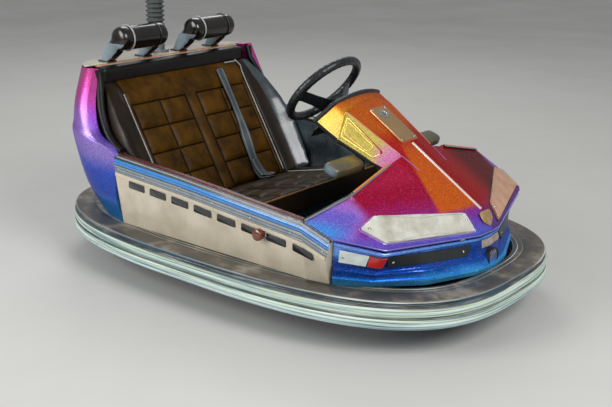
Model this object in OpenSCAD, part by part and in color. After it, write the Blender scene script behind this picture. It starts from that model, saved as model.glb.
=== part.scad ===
// Two-seat fairground bumper car with a faceted nose, a bench seat, a ceiling pole and a
// steered drive wheel under the nose. X points forward, Y to the car's left, Z up.
// The origin is on the floor under the middle of the bumper.

/* [Bumper] */
// Half of the bumper's length, to its outer rib
bumper_half_l = 1000; // [900:5:1150]
// Half of the bumper's width, to its outer rib
bumper_half_w = 620; // [560:5:720]
// Height of the bumper's flat top above the floor
bumper_top = 212; // [190:1:240]
// Height of the bumper's section
bumper_h = 108; // [80:1:120]
// Width of the bumper's flat top
bumper_t = 118; // [90:1:140]

/* [Body] */
// Thickness of the moulded body shells
shell_t = 6; // [4:0.5:9]
// Gap between one body panel and the next
panel_gap = 0.5; // [0.3:0.1:0.9]
// Distance of the sills inside the bumper's outer rib
sill_inset = 90; // [60:1:120]
// Thickness of the cockpit's side walls
sill_t = 30; // [20:1:40]
// Height of the nose's centre line at the dash seam
hood_z = 732; // [700:1:760]
// Height of the rear deck's edge
deck_z = 790; // [760:1:820]
// Depth of the step under the nose's belt ledge
ledge_in = 12; // [6:1:18]

/* [Seat] */
// Space between the seat's padding and the inside of the side wall
seat_side = 75; // [60:1:120]
// Thickness of the backrest's pad
back_t = 60; // [40:1:80]
// Thickness of the seat cushion
cushion_t = 85; // [60:1:100]
// Diameter of a headrest's padded roll
headrest_d = 100; // [76:1:110]
// Length of a headrest's padded roll
headrest_l = 250; // [210:1:280]

/* [Controls] */
// Outer diameter of the steering wheel
wheel_d = 342; // [300:1:360]
// Diameter of the steering wheel's grip
grip_d = 33; // [26:1:38]
// Tilt of the steering column from the vertical
column_tilt = 49; // [40:0.5:55]
// Diameter of the steering shaft
shaft_d = 28; // [20:1:36]

/* [Running gear] */
// Diameter of the steered drive wheel
drive_d = 200; // [180:1:220]
// Width of the drive wheel's tyre
drive_w = 62; // [50:1:70]
// Distance of the steered pivot behind the bumper's front end
drive_in = 390; // [380:1:410]
// Diameter of the rear wheels
rear_d = 160; // [140:1:180]
// Width of the rear wheels
rear_w = 44; // [36:1:50]
// Distance of the rear axle ahead of the bumper's rear end
rear_in = 440; // [400:1:480]
// Distance between the middles of the two rear wheels
rear_track = 650; // [620:1:680]
// Diameter of the axle shafts
axle_d = 20; // [16:1:25]
// Size of the frame's square steel tube
tube = 40; // [30:1:50]

/* [Pole] */
// Distance of the ceiling pole ahead of the bumper's rear end
pole_in = 210; // [180:1:240]
// Diameter of the pole's steel tube
pole_d = 38; // [30:1:50]
// Height of the contact head's top above the floor
pole_top = 2500; // [2000:10:2900]
// Outer diameter of the corrugated sleeve
boot_d = 82; // [70:1:100]
// Length of the corrugated sleeve
boot_l = 270; // [220:10:400]

/* [Hidden] */
$fn = 64;
// Gap between pieces that rest on each other, and the radial gap of a running shaft
seat_gap = 0.4;
running = 0.06;

// The nose keeps its place from the bumper's front end, the seat and the rear body from its rear end,
// and the cockpit between them takes up the rest. The outer corners keep their place from the sills.
sill_y = bumper_half_w - sill_inset;
// A point given by its distance behind the bumper's front end, or ahead of its rear end
function fore(p) = [bumper_half_l - p[0], p[1], p[2]];
function aft(p) = [p[0] - bumper_half_l, p[1], p[2]];
drive_x = bumper_half_l - drive_in;
rear_x = bumper_half_l - rear_in;
pole_x = bumper_half_l - pole_in;
sill_in = sill_y - sill_t;
seat_half_w = sill_in - seat_side;

// Plan curve of the bumper: a rounded rectangle between an ellipse and a box
bumper_power = 2.9;
bumper_steps = 96;
function signed_pow(v, p) = sign(v) * pow(abs(v), p);
function plan_curve(a, b) = [for (i = [0 : bumper_steps - 1]) let (t = 360 * i / bumper_steps)
    [a * signed_pow(cos(t), 2 / bumper_power), b * signed_pow(sin(t), 2 / bumper_power)]];
module plan_ring(out, in, z0, z1)
    translate([0, 0, z0]) linear_extrude(z1 - z0) difference() {
        polygon(plan_curve(bumper_half_l - out, bumper_half_w - out));
        polygon(plan_curve(bumper_half_l - in, bumper_half_w - in));
    }

// A closed solid through sections that all have the same number of points
module loft(sections) {
    n = len(sections[0]);
    m = len(sections);
    sides = [for (r = [0 : m - 2], c = [0 : n - 1]) let (d = (c + 1) % n, a = r * n, b = a + n)
        each [[a + c, a + d, b + d], [a + c, b + d, b + c]]];
    first = [for (c = [1 : n - 2]) [0, c + 1, c]];
    last = [for (c = [1 : n - 2]) [(m - 1) * n, (m - 1) * n + c, (m - 1) * n + c + 1]];
    polyhedron([for (s = sections) each s], concat(first, sides, last));
}

// A slab between two offsets of a mesh of points, measured outwards along the mesh's normals.
// Faces run anticlockwise as seen from outside; both mirrors the mesh across the car's middle.
function unit(v) = v / max(norm(v), 1e-9);
function fan(f) = [for (k = [1 : len(f) - 2]) [f[0], f[k], f[k + 1]]];
function tri_normal(p, t) = cross(p[t[1]] - p[t[0]], p[t[2]] - p[t[0]]);
function flip_y(p) = [p[0], -p[1], p[2]];
function has(t, i) = t[0] == i || t[1] == i || t[2] == i;
function vec_sum(list, i = 0) = i >= len(list) ? [0, 0, 0] : list[i] + vec_sum(list, i + 1);
function middle_fixed(p, i, n) = abs(p[i][1]) < 0.01 ? i : i + n;
module slab(half, faces, low, high, both = false) {
    n = len(half);
    points = both ? concat(half, [for (p = half) flip_y(p)]) : half;
    own = [for (f = faces) each fan(f)];
    tris = both ? concat(own, [for (f = own)
        [for (k = [2, 1, 0]) middle_fixed(half, f[k], n)]]) : own;
    normals = [for (i = [0 : len(points) - 1])
        unit(vec_sum([for (f = tris) if (has(f, i)) unit(tri_normal(points, f))]))];
    edges = [for (f = tris) each [[f[0], f[1]], [f[1], f[2]], [f[2], f[0]]]];
    rim = [for (e = edges) if (len([for (g = edges) if (g[0] == e[1] && g[1] == e[0]) g]) == 0) e];
    k = len(points);
    polyhedron(concat([for (i = [0 : k - 1]) points[i] + high * normals[i]],
        [for (i = [0 : k - 1]) points[i] + low * normals[i]]), concat(
        [for (f = tris) [f[2], f[1], f[0]]],
        [for (f = tris) [f[0] + k, f[1] + k, f[2] + k]],
        [for (e = rim) each [[e[0], e[1], e[1] + k], [e[0], e[1] + k, e[0] + k]]]));
}
module panel(half, faces, t = shell_t) slab(half, faces, -t, 0, true);
function grid_faces(rows, cols) = [for (r = [0 : rows - 2], c = [0 : cols - 2])
    let (a = r * cols + c) [a, a + cols, a + cols + 1, a + 1]];
function mix(a, b, t) = a * (1 - t) + b * t;
function turned(faces) = [for (f = faces) [for (k = [len(f) - 1 : -1 : 0]) f[k]]];

// Nose, half of it: x, y, z of each named corner
nose_drop = 0.644;
seam_in = 660;
function top_z(d) = hood_z - (seam_in - d) * nose_drop;
seam_c = fore([seam_in, 0, hood_z]);
seam_p = fore([seam_in, 52, hood_z]);
seam_k = fore([seam_in, 131, hood_z - 21]);
mid_c = fore([437, 0, top_z(437)]);
mid_p = fore([437, 40, top_z(437)]);
mid_k = fore([437, 99, top_z(437) - 10]);
fore_c = fore([362, 0, top_z(362)]);
fore_p = fore([362, 34, top_z(362)]);
fore_k = fore([362, 88, top_z(362) - 7]);
console_a = fore([seam_in, 178, hood_z - 123]);
console_b = fore([528, 178, hood_z - 171]);
console_c = fore([455, 178, hood_z - 192]);
corner_1 = fore([437, 179, hood_z - 171]);
corner_2 = fore([427, sill_y - 120, hood_z - 227]);
corner_3 = fore([530, sill_y - 6, 426]);
belt_s = fore([400, sill_y, 388]);
lamp_a = fore([352, sill_y - 50, 424]);
lamp_b = fore([355, sill_y - 130, 457]);
lamp_c = fore([183, 76, 421]);
lamp_d = fore([132, 66, 350]);
lamp_e = fore([254, sill_y - 75, 378]);
belt_k = fore([252, sill_y - 75, 364]);
tip_c = fore([153, 0, top_z(153)]);
chin_c = fore([128, 0, 362]);
belt_c = fore([120, 0, 342]);
belt_d = fore([129, 66, 340]);
nose_points = [seam_c, seam_p, seam_k, console_a, console_b, console_c,
    mid_c, mid_p, mid_k, corner_1, corner_2, corner_3,
    belt_s, lamp_a, lamp_b, lamp_c, lamp_d, lamp_e,
    belt_k, tip_c, chin_c, belt_c, belt_d, fore_c, fore_p, fore_k,
    mix(lamp_b, lamp_c, 1 / 3), mix(lamp_b, lamp_c, 2 / 3), mix(lamp_e, lamp_d, 1 / 3), mix(lamp_e, lamp_d, 2 / 3)];
nose_faces = [[0, 6, 7, 1], [1, 7, 8, 2], [6, 23, 24, 7], [7, 24, 25, 8], [23, 19, 15, 24], [24, 15, 25],
    [2, 8, 9, 5, 4, 3], [9, 8, 25, 15, 27, 26, 14, 10],
    [10, 13, 12, 11], [10, 14, 13], [13, 14, 17], [14, 26, 28, 17], [26, 27, 29, 28], [27, 15, 16, 29],
    [12, 13, 17, 18], [17, 28, 29, 16, 22, 18],
    [15, 19, 20, 16], [16, 20, 21, 22]];

// Fog lamp under the nose: height of its middle and its diameter
fog_z = 254;
fog_d = 70;

// Lower nose, half of it: the belt's outline and the skirt's outline, from the sill to the middle
skirt_z = bumper_top + panel_gap;
belt_line = [belt_s, belt_k, mix(belt_k, belt_d, 0.5), belt_d, belt_c];
skirt_line = [for (q = [[440, sill_y - 38], [338, sill_y - 102], [200, sill_y - 241], [120, 105], [103, 0]])
    fore([q[0], q[1], skirt_z])];
// share of the way down, and step outwards
lower_rows = [[0.0, 0], [0.52, -2], [0.60, 9], [0.78, 6], [0.80, 12], [1.0, 0]];
function inset(p, d) = let (r = norm([p[0], p[1]])) [p[0] - d * p[0] / r, p[1] - d * p[1] / r, p[2]];
function along(line, u) = let (i = min(floor(u), len(line) - 2)) mix(line[i], line[i + 1], u - i);
// u counts the belt's corners from the sill, t is the share of the way down to the skirt
function lower_pt(u, t, out) = inset(mix(inset(along(belt_line, u), ledge_in) - [0, 0, shell_t + 7],
    along(skirt_line, u), t), -out);
lower_us = [for (i = [0 : 16]) i / 4];
lower_points = [for (r = lower_rows, u = lower_us) lower_pt(u, r[0], r[1])];
// A point of the band: v runs down the band
function lower_at(u, v) = lower_pt(u, mix(lower_rows[0][0], lower_rows[1][0], v), mix(lower_rows[0][1], lower_rows[1][1], v));
module band_pad(us, v0, v1, t) slab([for (v = [v0, v1], u = us) lower_at(u, v)],
    turned(grid_faces(2, len(us))), seat_gap, t);

module car_mirror() {
    children();
    mirror([0, 1, 0]) children();
}

// Bumper: an air-filled rubber ring. inset from the outer rib, from height, to height
bumper_ribs = [[22, 0, 0.08], [0, 0.08, 0.43], [10, 0.43, 0.48], [2, 0.48, 0.80], [14, 0.80, 0.86],
    [7, 0.86, 1.0]];
bumper_z0 = bumper_top - bumper_h;
module bumper() color("dimgray") for (r = bumper_ribs)
    plan_ring(r[0], bumper_t, bumper_z0 + r[1] * bumper_h, bumper_z0 + r[2] * bumper_h);

// Frame: a steel hoop inside the bumper, two rails, cross members and the pivot's ring plate
hoop_t = 6;
hoop_in = bumper_t + seat_gap;
frame_z = bumper_z0 + 16;
rail_y = 250;
floor_z = frame_z + tube;
module bumper_carrier() color("slategray") plan_ring(hoop_in, hoop_in + hoop_t, bumper_z0 + 10, bumper_top - 20);

drive_hole_r = 172;
rail_l = 2 * (bumper_half_l - 160);
end_x = bumper_half_l - 180;
cross_x = [260 - bumper_half_l, 130 - rear_x, -120, 300, end_x];
plate_l = 2 * drive_hole_r + 40;
module hoop_room() translate([0, 0, frame_z - 1]) linear_extrude(tube + 2)
    polygon(plan_curve(bumper_half_l - hoop_in - hoop_t - seat_gap, bumper_half_w - hoop_in - hoop_t - seat_gap));
module chassis_frame() color("darkslategray") difference() {
    intersection() {
        union() {
            for (s = [-1, 1]) translate([-rail_l / 2, s * rail_y - tube / 2, frame_z]) cube([rail_l, tube, tube]);
            for (x = cross_x) translate([x - tube / 2, -bumper_half_w, frame_z]) cube([tube, 2 * bumper_half_w, tube]);
            for (s = [-1, 1]) translate([s * end_x - 100, -tube / 2, frame_z]) cube([200, tube, tube]);
            translate([drive_x - plate_l / 2, -rail_y, floor_z - 8]) cube([plate_l, 2 * rail_y, 8]);
        }
        hoop_room();
    }
    translate([drive_x, 0, frame_z - 1]) cylinder(h = tube + 2, r = drive_hole_r);
}

floor_t = 5;
tub_t = 5;
tub_z = floor_z + floor_t + seat_gap + tub_t;
tub_foot = sill_y - 90;
module floor_pan() color("gray") translate([570 - bumper_half_l, -tub_foot, floor_z + seat_gap / 2])
    cube([2 * bumper_half_l - 1150, 2 * tub_foot, floor_t - seat_gap / 2]);

module bonnet() color("crimson") panel(nose_points, nose_faces);

// Dash collar: the band between the dash end and the seam; its end is square to the column
column_dir = [-sin(column_tilt), 0, cos(column_tilt)];
wheel_c = fore([866, 0, 748]);
dash_off = 126;
dash_c = wheel_c - dash_off * column_dir;
// x on the dash end's plane at height z
function dash_x(z, out = 0) = dash_c[0] + ((z - dash_c[2]) * cos(column_tilt) - out) / sin(column_tilt);
collar_front = [seam_c, mix(seam_c, seam_k, 0.55) + [0, 0, 6], seam_k, mix(seam_k, console_a, 0.12) + [0, 5, 0],
    console_a];
collar_rear = [for (p = collar_front) let (z = p[2] + 27) [dash_x(z), p[1] * 1.0, z]];
collar_low = [dash_x(667), console_a[1], 667];
collar_points = concat([for (p = collar_front) p - [3, 0, 0]],
    [for (i = [0 : 3]) collar_rear[i]], [collar_low]);
module dash_collar() color("goldenrod") panel(collar_points,
    [for (i = [0 : 3]) [i, i + 1, i + 6, i + 5]]);
module dash_panel() color("black") translate(dash_c) rotate([0, -column_tilt, 0]) translate([0, 0, -14])
    difference() {
        translate([-20, 6 - seam_k[1], 0]) cube([80, 2 * seam_k[1] - 12, 8]);
        translate([0, 0, -1]) cylinder(h = 10, d = shaft_d + 2 * running);
    }

module on_slope(d, y = 0, lift = 0) translate([bumper_half_l - d, y, top_z(d) + lift])
    rotate([0, atan(nose_drop), 0]) children();
module coin_plate() color("silver") on_slope(622) translate([0, -49, seat_gap]) cube([178, 98, 5]);
module bonnet_strip() color("silver") on_slope(444) translate([0, -5, seat_gap]) cube([330, 10, 4]);
module nose_badge() color("tan") translate(tip_c)
    rotate([0, atan2(tip_c[2] - chin_c[2], chin_c[0] - tip_c[0]), 0]) translate([-4, -20, seat_gap]) cube([46, 40, 4]);

// Headlamp cover on the ruled surface between the lamp's top and bottom edges
function lamp_at(u, v) = mix(mix(lamp_b, lamp_c, u), mix(lamp_e, lamp_d, u), v);
lens_us = [0, 1 / 3, 2 / 3, 0.965];
lens_points = concat([mix(lamp_a, lamp_at(0, 0.5), 0.16)], [for (v = [0.1, 0.9], u = lens_us) lamp_at(u, v)]);
lens_faces = concat([[0, 1, 5]], [for (c = [1 : 3]) [c, c + 1, c + 5, c + 4]]);
module lens() slab(lens_points, lens_faces, seat_gap, 7);
module headlamp_left() color("white") lens();
module headlamp_right() color("white") mirror([0, 1, 0]) lens();

module nose_lower() color("dodgerblue") difference() {
    panel(lower_points, turned(grid_faces(len(lower_rows), len(lower_us))));
    translate([bumper_half_l - 200, 0, fog_z]) rotate([0, 90, 0]) cylinder(h = 200, d = fog_d + 2 * seat_gap);
}
module fog_lamp() color("black") translate([bumper_half_l - 134, 0, fog_z]) rotate([0, 90, 0]) cylinder(h = 26, d = fog_d);
module marker_lamps() color("white") car_mirror() {
    band_pad([0.12, 0.25, 0.5, 0.73], 0.22, 0.80, 7);
    band_pad([0.75, 1, 1.10], 0.22, 0.80, 7);
}
module nose_grilles() color("black") car_mirror() band_pad([1.14, 1.25, 1.5, 1.75, 2, 2.25, 2.5, 2.75, 2.85], 0.22, 0.80, 5);

// Sill wall: x, height of its top, how far in its foot stands, and how far its front edge slopes back
sill_rows = [[538 - bumper_half_l, 496, 24, 0], [-100, 474, 22, 0], [bumper_half_l - 533, 426, 24, 0],
    [bumper_half_l - 531, 425, 24, 0], [bumper_half_l - 412, 388, 40, 36]];
function sill_section(r) = let (x = r[0], z = r[1], foot = sill_y - r[2], s = r[3], y = sill_y,
    in = min(sill_in, foot - 6))
    [[x, in, z], [x, y, z - 6], [x - 0.2 * s, y + 8, z - 34], [x - 0.5 * s, y + 6, z - 90],
    [x - s, foot, skirt_z], [x - s, in, skirt_z]];
module sill_left() color("lightsteelblue") loft([for (r = sill_rows) sill_section(r)]);
module sill_right() color("lightsteelblue") mirror([0, 1, 0]) sill_left();

// Rear body, half of it: rows from the skirt up, columns from the cockpit edge round to the middle
rear_plan = [
    [[536, sill_y - 30, skirt_z], [534, sill_y - 24, skirt_z], [360, sill_y - 83, skirt_z], [210, sill_y - 230, skirt_z], [130, 150, skirt_z], [104, 0, skirt_z]],
    [[536, sill_y - 28, 330], [534, sill_y + 4, 330], [340, sill_y - 30, 330], [200, sill_y - 145, 330], [120, 190, 330], [102, 0, 330]],
    [[536, sill_y - 25, 498], [534, sill_y + 8, 492], [328, sill_y + 10, 520], [185, sill_y - 100, 525], [115, 215, 530], [100, 0, 530]],
    [[425, sill_y - 30, 550], [420, sill_y + 8, 545], [318, sill_y + 3, 580], [182, sill_y - 105, 585], [117, 210, 590], [104, 0, 590]],
    [[378, sill_y - 48, 650], [370, sill_y - 12, 650], [305, sill_y - 15, 665], [185, sill_y - 118, 670], [125, 205, 672], [114, 0, 672]],
    [[350, sill_y - 94, deck_z], [345, sill_y - 68, deck_z + 6], [288, sill_y - 72, deck_z], [202, sill_y - 145, deck_z], [150, 190, deck_z], [138, 0, deck_z]]];
rear_rows = [for (r = rear_plan) [for (p = r) aft(p)]];
module rear_body() color("mediumvioletred") panel([for (r = rear_rows) each r], turned(grid_faces(6, 6)));
deck_top = deck_z + seat_gap + 6;
roll_x = 346 - bumper_half_l;
roll_t = 58;
roll_half_w = sill_y - 116;
module rear_deck() color("beige") difference() {
    car_mirror() loft([for (z = [deck_z + seat_gap, deck_top])
        [[roll_x - roll_t - seat_gap, 0, z], aft([138, 0, z]), aft([150, 190, z]), aft([202, sill_y - 145, z]),
        aft([280, sill_y - 80, z]), [roll_x - roll_t - seat_gap, sill_y - 75, z]]]);
    translate([-pole_x, 0, deck_z - 1]) cylinder(h = 10, d = mast_d + 2 * seat_gap);
}
module facing(n) rotate([0, acos(n[2]), atan2(n[1], n[0])]) children();
lamp_n = unit(cross(rear_rows[1][4] - rear_rows[1][3], rear_rows[2][3] - rear_rows[1][3]));
module rear_lamps() color("red") car_mirror() translate(mix(mix(rear_rows[1][3], rear_rows[1][4], 0.5),
    mix(rear_rows[2][3], rear_rows[2][4], 0.5), 0.5) + 4.5 * lamp_n) facing(lamp_n) cylinder(h = 14, d = 70);

// Tub, half of it: rows from the footwell back and up to the top roll
tub_y = sill_in - tub_t - seat_gap;
tub_rows = [
    [[bumper_half_l - 534, tub_y, 408], [bumper_half_l - 554, tub_y - 10, 300], [bumper_half_l - 576, tub_foot, tub_z],
        [bumper_half_l - 576, 0, tub_z]],
    [[bumper_half_l - 900, tub_y, 450], [bumper_half_l - 900, tub_y - 8, 300], [bumper_half_l - 900, tub_foot, tub_z],
        [bumper_half_l - 900, 0, tub_z]],
    [[700 - bumper_half_l, tub_y, 474], [680 - bumper_half_l, tub_y - 8, 310], aft([648, sill_y - 90, tub_z]), aft([648, 0, tub_z])],
    [[545 - bumper_half_l, tub_y - 1, 488], aft([560, sill_y - 50, 350]), aft([585, sill_y - 94, 222]), aft([590, 0, 216])],
    [aft([455, sill_y - 44, 540]), aft([480, sill_y - 60, 470]), aft([508, sill_y - 100, 350]), aft([514, 0, 346])],
    [aft([392, sill_y - 64, 645]), aft([405, sill_y - 75, 590]), aft([425, sill_y - 105, 500]), aft([430, 0, 496])],
    [aft([355, sill_y - 100, 735]), aft([348, sill_y - 102, 725]), aft([318, sill_y - 110, 719]), aft([312, 0, 719])]];
module seat_tub() color("black") panel([for (r = tub_rows) each r], grid_faces(7, 4), tub_t);

// Toe board, half of it: rows from the floor up to the nose's rear edge
toe_x = bumper_half_l - 575;
toe_y = console_a[1];
toe_rows = [[[toe_x, 0, tub_z], [toe_x, toe_y, tub_z], [toe_x, tub_foot - 40, tub_z], [toe_x, tub_foot - 4, tub_z]],
    [[toe_x + 11, 0, 318], [toe_x + 11, toe_y, 318], [toe_x + 15, sill_y - 125, 312], [toe_x + 24, tub_y - 18.6, 306]],
    [[toe_x + 120, 0, 536], [toe_x + 120, toe_y - 2, 530], [toe_x + 131, sill_y - 130, 485],
        [toe_x + 43, tub_y - 4.6, 408]]];
module toe_board() color("black") difference() {
    panel([for (r = toe_rows) each r], turned(grid_faces(3, 4)), tub_t);
    on_column() translate([0, 0, hub_low - shaft_l]) cylinder(h = shaft_l, d = shaft_d + 24);
}

// Seat: side profile of the pads, x and z
back_foot = [657 - bumper_half_l, 268];
back_head = [388 - bumper_half_l, 716];
back_dir = unit(back_head - back_foot);
back_n = [back_dir[1], -back_dir[0]];
module side_slab(profile, half_w) translate([0, half_w, 0]) rotate([90, 0, 0]) linear_extrude(2 * half_w) polygon(profile);
module seat_back() color("saddlebrown") side_slab([back_foot, back_head, back_head - back_t * back_n,
    back_foot - back_t * back_n], seat_half_w - 15);
cushion_front = [1090 - bumper_half_l, 366];
cushion_rear = [back_foot[0] + seat_gap, 270];
module seat_cushion() color("saddlebrown") side_slab([cushion_front, cushion_rear, cushion_rear - [0, cushion_t],
    cushion_front - [0, cushion_t]], seat_half_w);
base_front = mix(cushion_front, cushion_rear, 0.015);
module seat_base() color("black") side_slab([base_front - [0, cushion_t + seat_gap],
    cushion_rear - [0, cushion_t + seat_gap], [cushion_rear[0], tub_z + seat_gap], [base_front[0], tub_z + seat_gap]],
    seat_half_w);
module backrest_roll() color("black") translate([roll_x - roll_t, -roll_half_w, 720])
    cube([roll_t, 2 * roll_half_w, 70]);

headrest_y = 200;
headrest_shift = -18;
headrest_leg = 40;
headrest_z = deck_top + 101;
module headrest(s) {
    side = headrest_shift + s * headrest_y;
    translate([roll_x + 9, side - headrest_l / 2, headrest_z]) rotate([-90, 0, 0]) cylinder(h = headrest_l, d = headrest_d);
    for (e = [-1, 1]) translate([0, side + e * (headrest_l - headrest_leg) / 2 + headrest_leg / 2, 0])
        rotate([90, 0, 0]) linear_extrude(headrest_leg)
            polygon([[roll_x + 44, headrest_z + 6], [roll_x - 36, headrest_z + 6], [roll_x - 108, deck_top + seat_gap],
                [roll_x - 62, deck_top + seat_gap]]);
}
module headrest_right() color("black") headrest(-1);
module headrest_left() color("black") headrest(1);
module seat_belt() color("gray") translate([0, 190, 0]) side_slab([back_head + seat_gap * back_n,
    back_head + 3 * back_n, mix(back_foot, back_head, 0.06) + 3 * back_n,
    mix(back_foot, back_head, 0.06) + seat_gap * back_n], 25);
function console_low(x) = mix(console_a[2], console_b[2], (x - console_a[0]) / (console_b[0] - console_a[0]));
knee_x = bumper_half_l - 575;
module knee_pads() color("black") car_mirror() {
    translate([knee_x, toe_y - 6.5, 548]) rotate([0, 20, 0]) translate([-35, 0, -22]) cube([70, 172, 44]);
    translate([0, toe_y - 0.5, 0]) rotate([90, 0, 0]) linear_extrude(6) polygon([[knee_x - 30, 535], [knee_x + 30, 535],
        [knee_x + 30, console_low(knee_x + 30) - 3.6], [knee_x - 30, console_low(knee_x - 30) - 3.6]]);
}

// Steering: wheel with a dish, two spokes and a hub on a sloping shaft
module on_column() translate(wheel_c) rotate([0, -column_tilt, 0]) children();
module steering_wheel() color("black") on_column() {
    rotate_extrude() translate([(wheel_d - grip_d) / 2, 0]) circle(d = grip_d);
    translate([0, 0, -80]) cylinder(h = 24, d = 90);
    for (a = [0, 180]) rotate([0, 0, a + 90]) rotate([90, 0, 90]) translate([0, 0, 0]) linear_extrude(50, center = true)
        polygon([[30, -78], [44, -78], [150, -8], [146, 4]]);
}
hub_low = -80;
shaft_l = 500;
module steering_shaft() color("gray") on_column() translate([0, 0, hub_low - seat_gap - shaft_l]) cylinder(h = shaft_l, d = shaft_d);
bridge_z = floor_z + 200;
kingpin_d = 40;
module steering_bridge() color("darkslategray") difference() {
    union() {
        for (s = [-1, 1]) translate([drive_x - 20, s * 226 - 4, floor_z + seat_gap]) cube([40, 8, bridge_z - floor_z - seat_gap]);
        translate([drive_x - 20, -230, bridge_z - 8]) cube([40, 460, 8]);
        translate([drive_x, 0, bridge_z - 30]) cylinder(h = 30, d = 70);
        translate([drive_x - 50, -40, bridge_z - 1]) cube([90, 80, 71]);
    }
    translate([drive_x, 0, bridge_z - 40]) cylinder(h = 41, d = kingpin_d + 2 * running);
    on_column() translate([0, 0, hub_low - shaft_l - 2]) cylinder(h = shaft_l, d = shaft_d + 2 * running);
}
module pedal() color("silver") translate([0, -80, 0]) side_slab([[toe_x - 95, tub_z + seat_gap],
    [toe_x - 5, tub_z + seat_gap], [toe_x - 5, tub_z + 100], [toe_x - 15, tub_z + 100]], 45);

mast_d = 60;
socket_h = 76;
module pole_base() color("gray") {
    translate([-pole_x, 0, floor_z + seat_gap]) cylinder(h = deck_top - floor_z, d = mast_d);
    translate([-pole_x, 0, deck_top + seat_gap]) cylinder(h = 10, d = 108);
    translate([-pole_x, 0, deck_top + seat_gap]) cylinder(h = socket_h, d = boot_d - 8);
}
boot_z = deck_top + seat_gap + socket_h + seat_gap;
boot_rings = 15;
module pole_boot() color("gray") translate([-pole_x, 0, boot_z]) for (i = [0 : boot_rings - 1])
    translate([0, 0, i * boot_l / boot_rings]) difference() {
        cylinder(h = boot_l / boot_rings, d = i % 2 == 0 ? boot_d : boot_d - 12);
        translate([0, 0, -1]) cylinder(h = 22, d = pole_d + 2 * seat_gap);
    }
bow_h = 60;
module pole() color("silver") translate([-pole_x, 0, boot_z]) cylinder(h = pole_top - bow_h - boot_z, d = pole_d);
module pole_contact() color("goldenrod") translate([-pole_x, 0, pole_top - bow_h + seat_gap]) {
    cylinder(h = 20, d = 52);
    translate([-15, -11, 18]) cube([30, 22, bow_h - 30]);
    translate([-25, -110, bow_h - 14]) cube([50, 220, 14 - seat_gap]);
}

// Steered drive unit: a ring that turns in the frame, two cheeks, a kingpin and the motor
cheek_in = drive_w / 2 + 8;
cheek_t = 8;
cheek_top = drive_d / 2 + 118;
module drive_head() color("dimgray") difference() {
    union() {
        translate([drive_x, 0, floor_z - 8]) cylinder(h = 8, r = drive_hole_r - 6);
        for (s = [-1, 1]) translate([drive_x - 40, s * (cheek_in + cheek_t / 2) - cheek_t / 2, drive_d / 2 - 30])
            cube([80, cheek_t, cheek_top - drive_d / 2 + 30]);
        translate([drive_x - 40, -cheek_in - cheek_t, cheek_top - 8]) cube([80, 2 * (cheek_in + cheek_t), 8]);
        translate([drive_x, 0, cheek_top - 1]) cylinder(h = bridge_z - cheek_top, d = kingpin_d);
    }
    translate([drive_x - drive_d / 2 - 10, -cheek_in, 0]) cube([drive_d + 20, 2 * cheek_in, drive_d + 10]);
    translate([drive_x, 0, drive_d / 2]) rotate([90, 0, 0]) cylinder(h = 400, d = axle_d + 2 * running, center = true);
}
module drive_motor() color("dimgray") translate([drive_x, cheek_in + cheek_t + seat_gap, floor_z + 75]) rotate([-90, 0, 0]) cylinder(h = 95, d = 130);
module drive_wheel() color("black") translate([drive_x, 0, drive_d / 2]) rotate([90, 0, 0]) {
    cylinder(h = drive_w, d = drive_d, center = true);
    cylinder(h = 2 * cheek_in + 2 * cheek_t + 12, d = axle_d, center = true);
}
module rear_axle() color("gray") {
    translate([-rear_x, 0, rear_d / 2]) rotate([90, 0, 0]) cylinder(h = rear_track + rear_w + 24, d = axle_d, center = true);
    for (s = [-1, 1]) {
        translate([-rear_x, s * (rear_track / 2 + rear_w / 2 + 8), rear_d / 2]) rotate([90, 0, 0])
            cylinder(h = 6, d = axle_d + 16, center = true);
        translate([-rear_x - 30, s * rail_y - tube / 2, rear_d / 2 - 14]) cube([60, tube, frame_z - rear_d / 2 + 14 - seat_gap]);
    }
}
module rear_wheel(s) translate([-rear_x, s * rear_track / 2, rear_d / 2]) rotate([90, 0, 0]) difference() {
    cylinder(h = rear_w, d = rear_d, center = true);
    cylinder(h = rear_w + 2, d = axle_d + 2 * running, center = true);
}
module rear_wheel_right() color("black") rear_wheel(-1);
module rear_wheel_left() color("black") rear_wheel(1);

bumper();
bumper_carrier();
chassis_frame();
floor_pan();
bonnet();
dash_collar();
dash_panel();
coin_plate();
bonnet_strip();
nose_badge();
headlamp_right();
headlamp_left();
nose_lower();
marker_lamps();
nose_grilles();
fog_lamp();
sill_right();
sill_left();
rear_body();
rear_deck();
rear_lamps();
seat_tub();
seat_base();
seat_cushion();
seat_back();
backrest_roll();
headrest_right();
headrest_left();
seat_belt();
knee_pads();
toe_board();
steering_wheel();
steering_shaft();
steering_bridge();
pedal();
pole_base();
pole_boot();
pole();
pole_contact();
drive_head();
drive_motor();
drive_wheel();
rear_axle();
rear_wheel_right();
rear_wheel_left();
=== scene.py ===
"""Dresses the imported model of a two-seat fairground bumper car.

Lengths in the classes are millimetres in the car's own frame: X forward, Y to its left, Z up,
with the origin on the floor under the middle of the bumper. Meshes are made in metres.
"""

import logging
import math
from dataclasses import dataclass, field
from enum import Enum
from typing import Callable, Iterable, Sequence

import bmesh
import bpy
import numpy as np
from mathutils import Matrix, Vector
from mathutils.bvhtree import BVHTree

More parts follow.
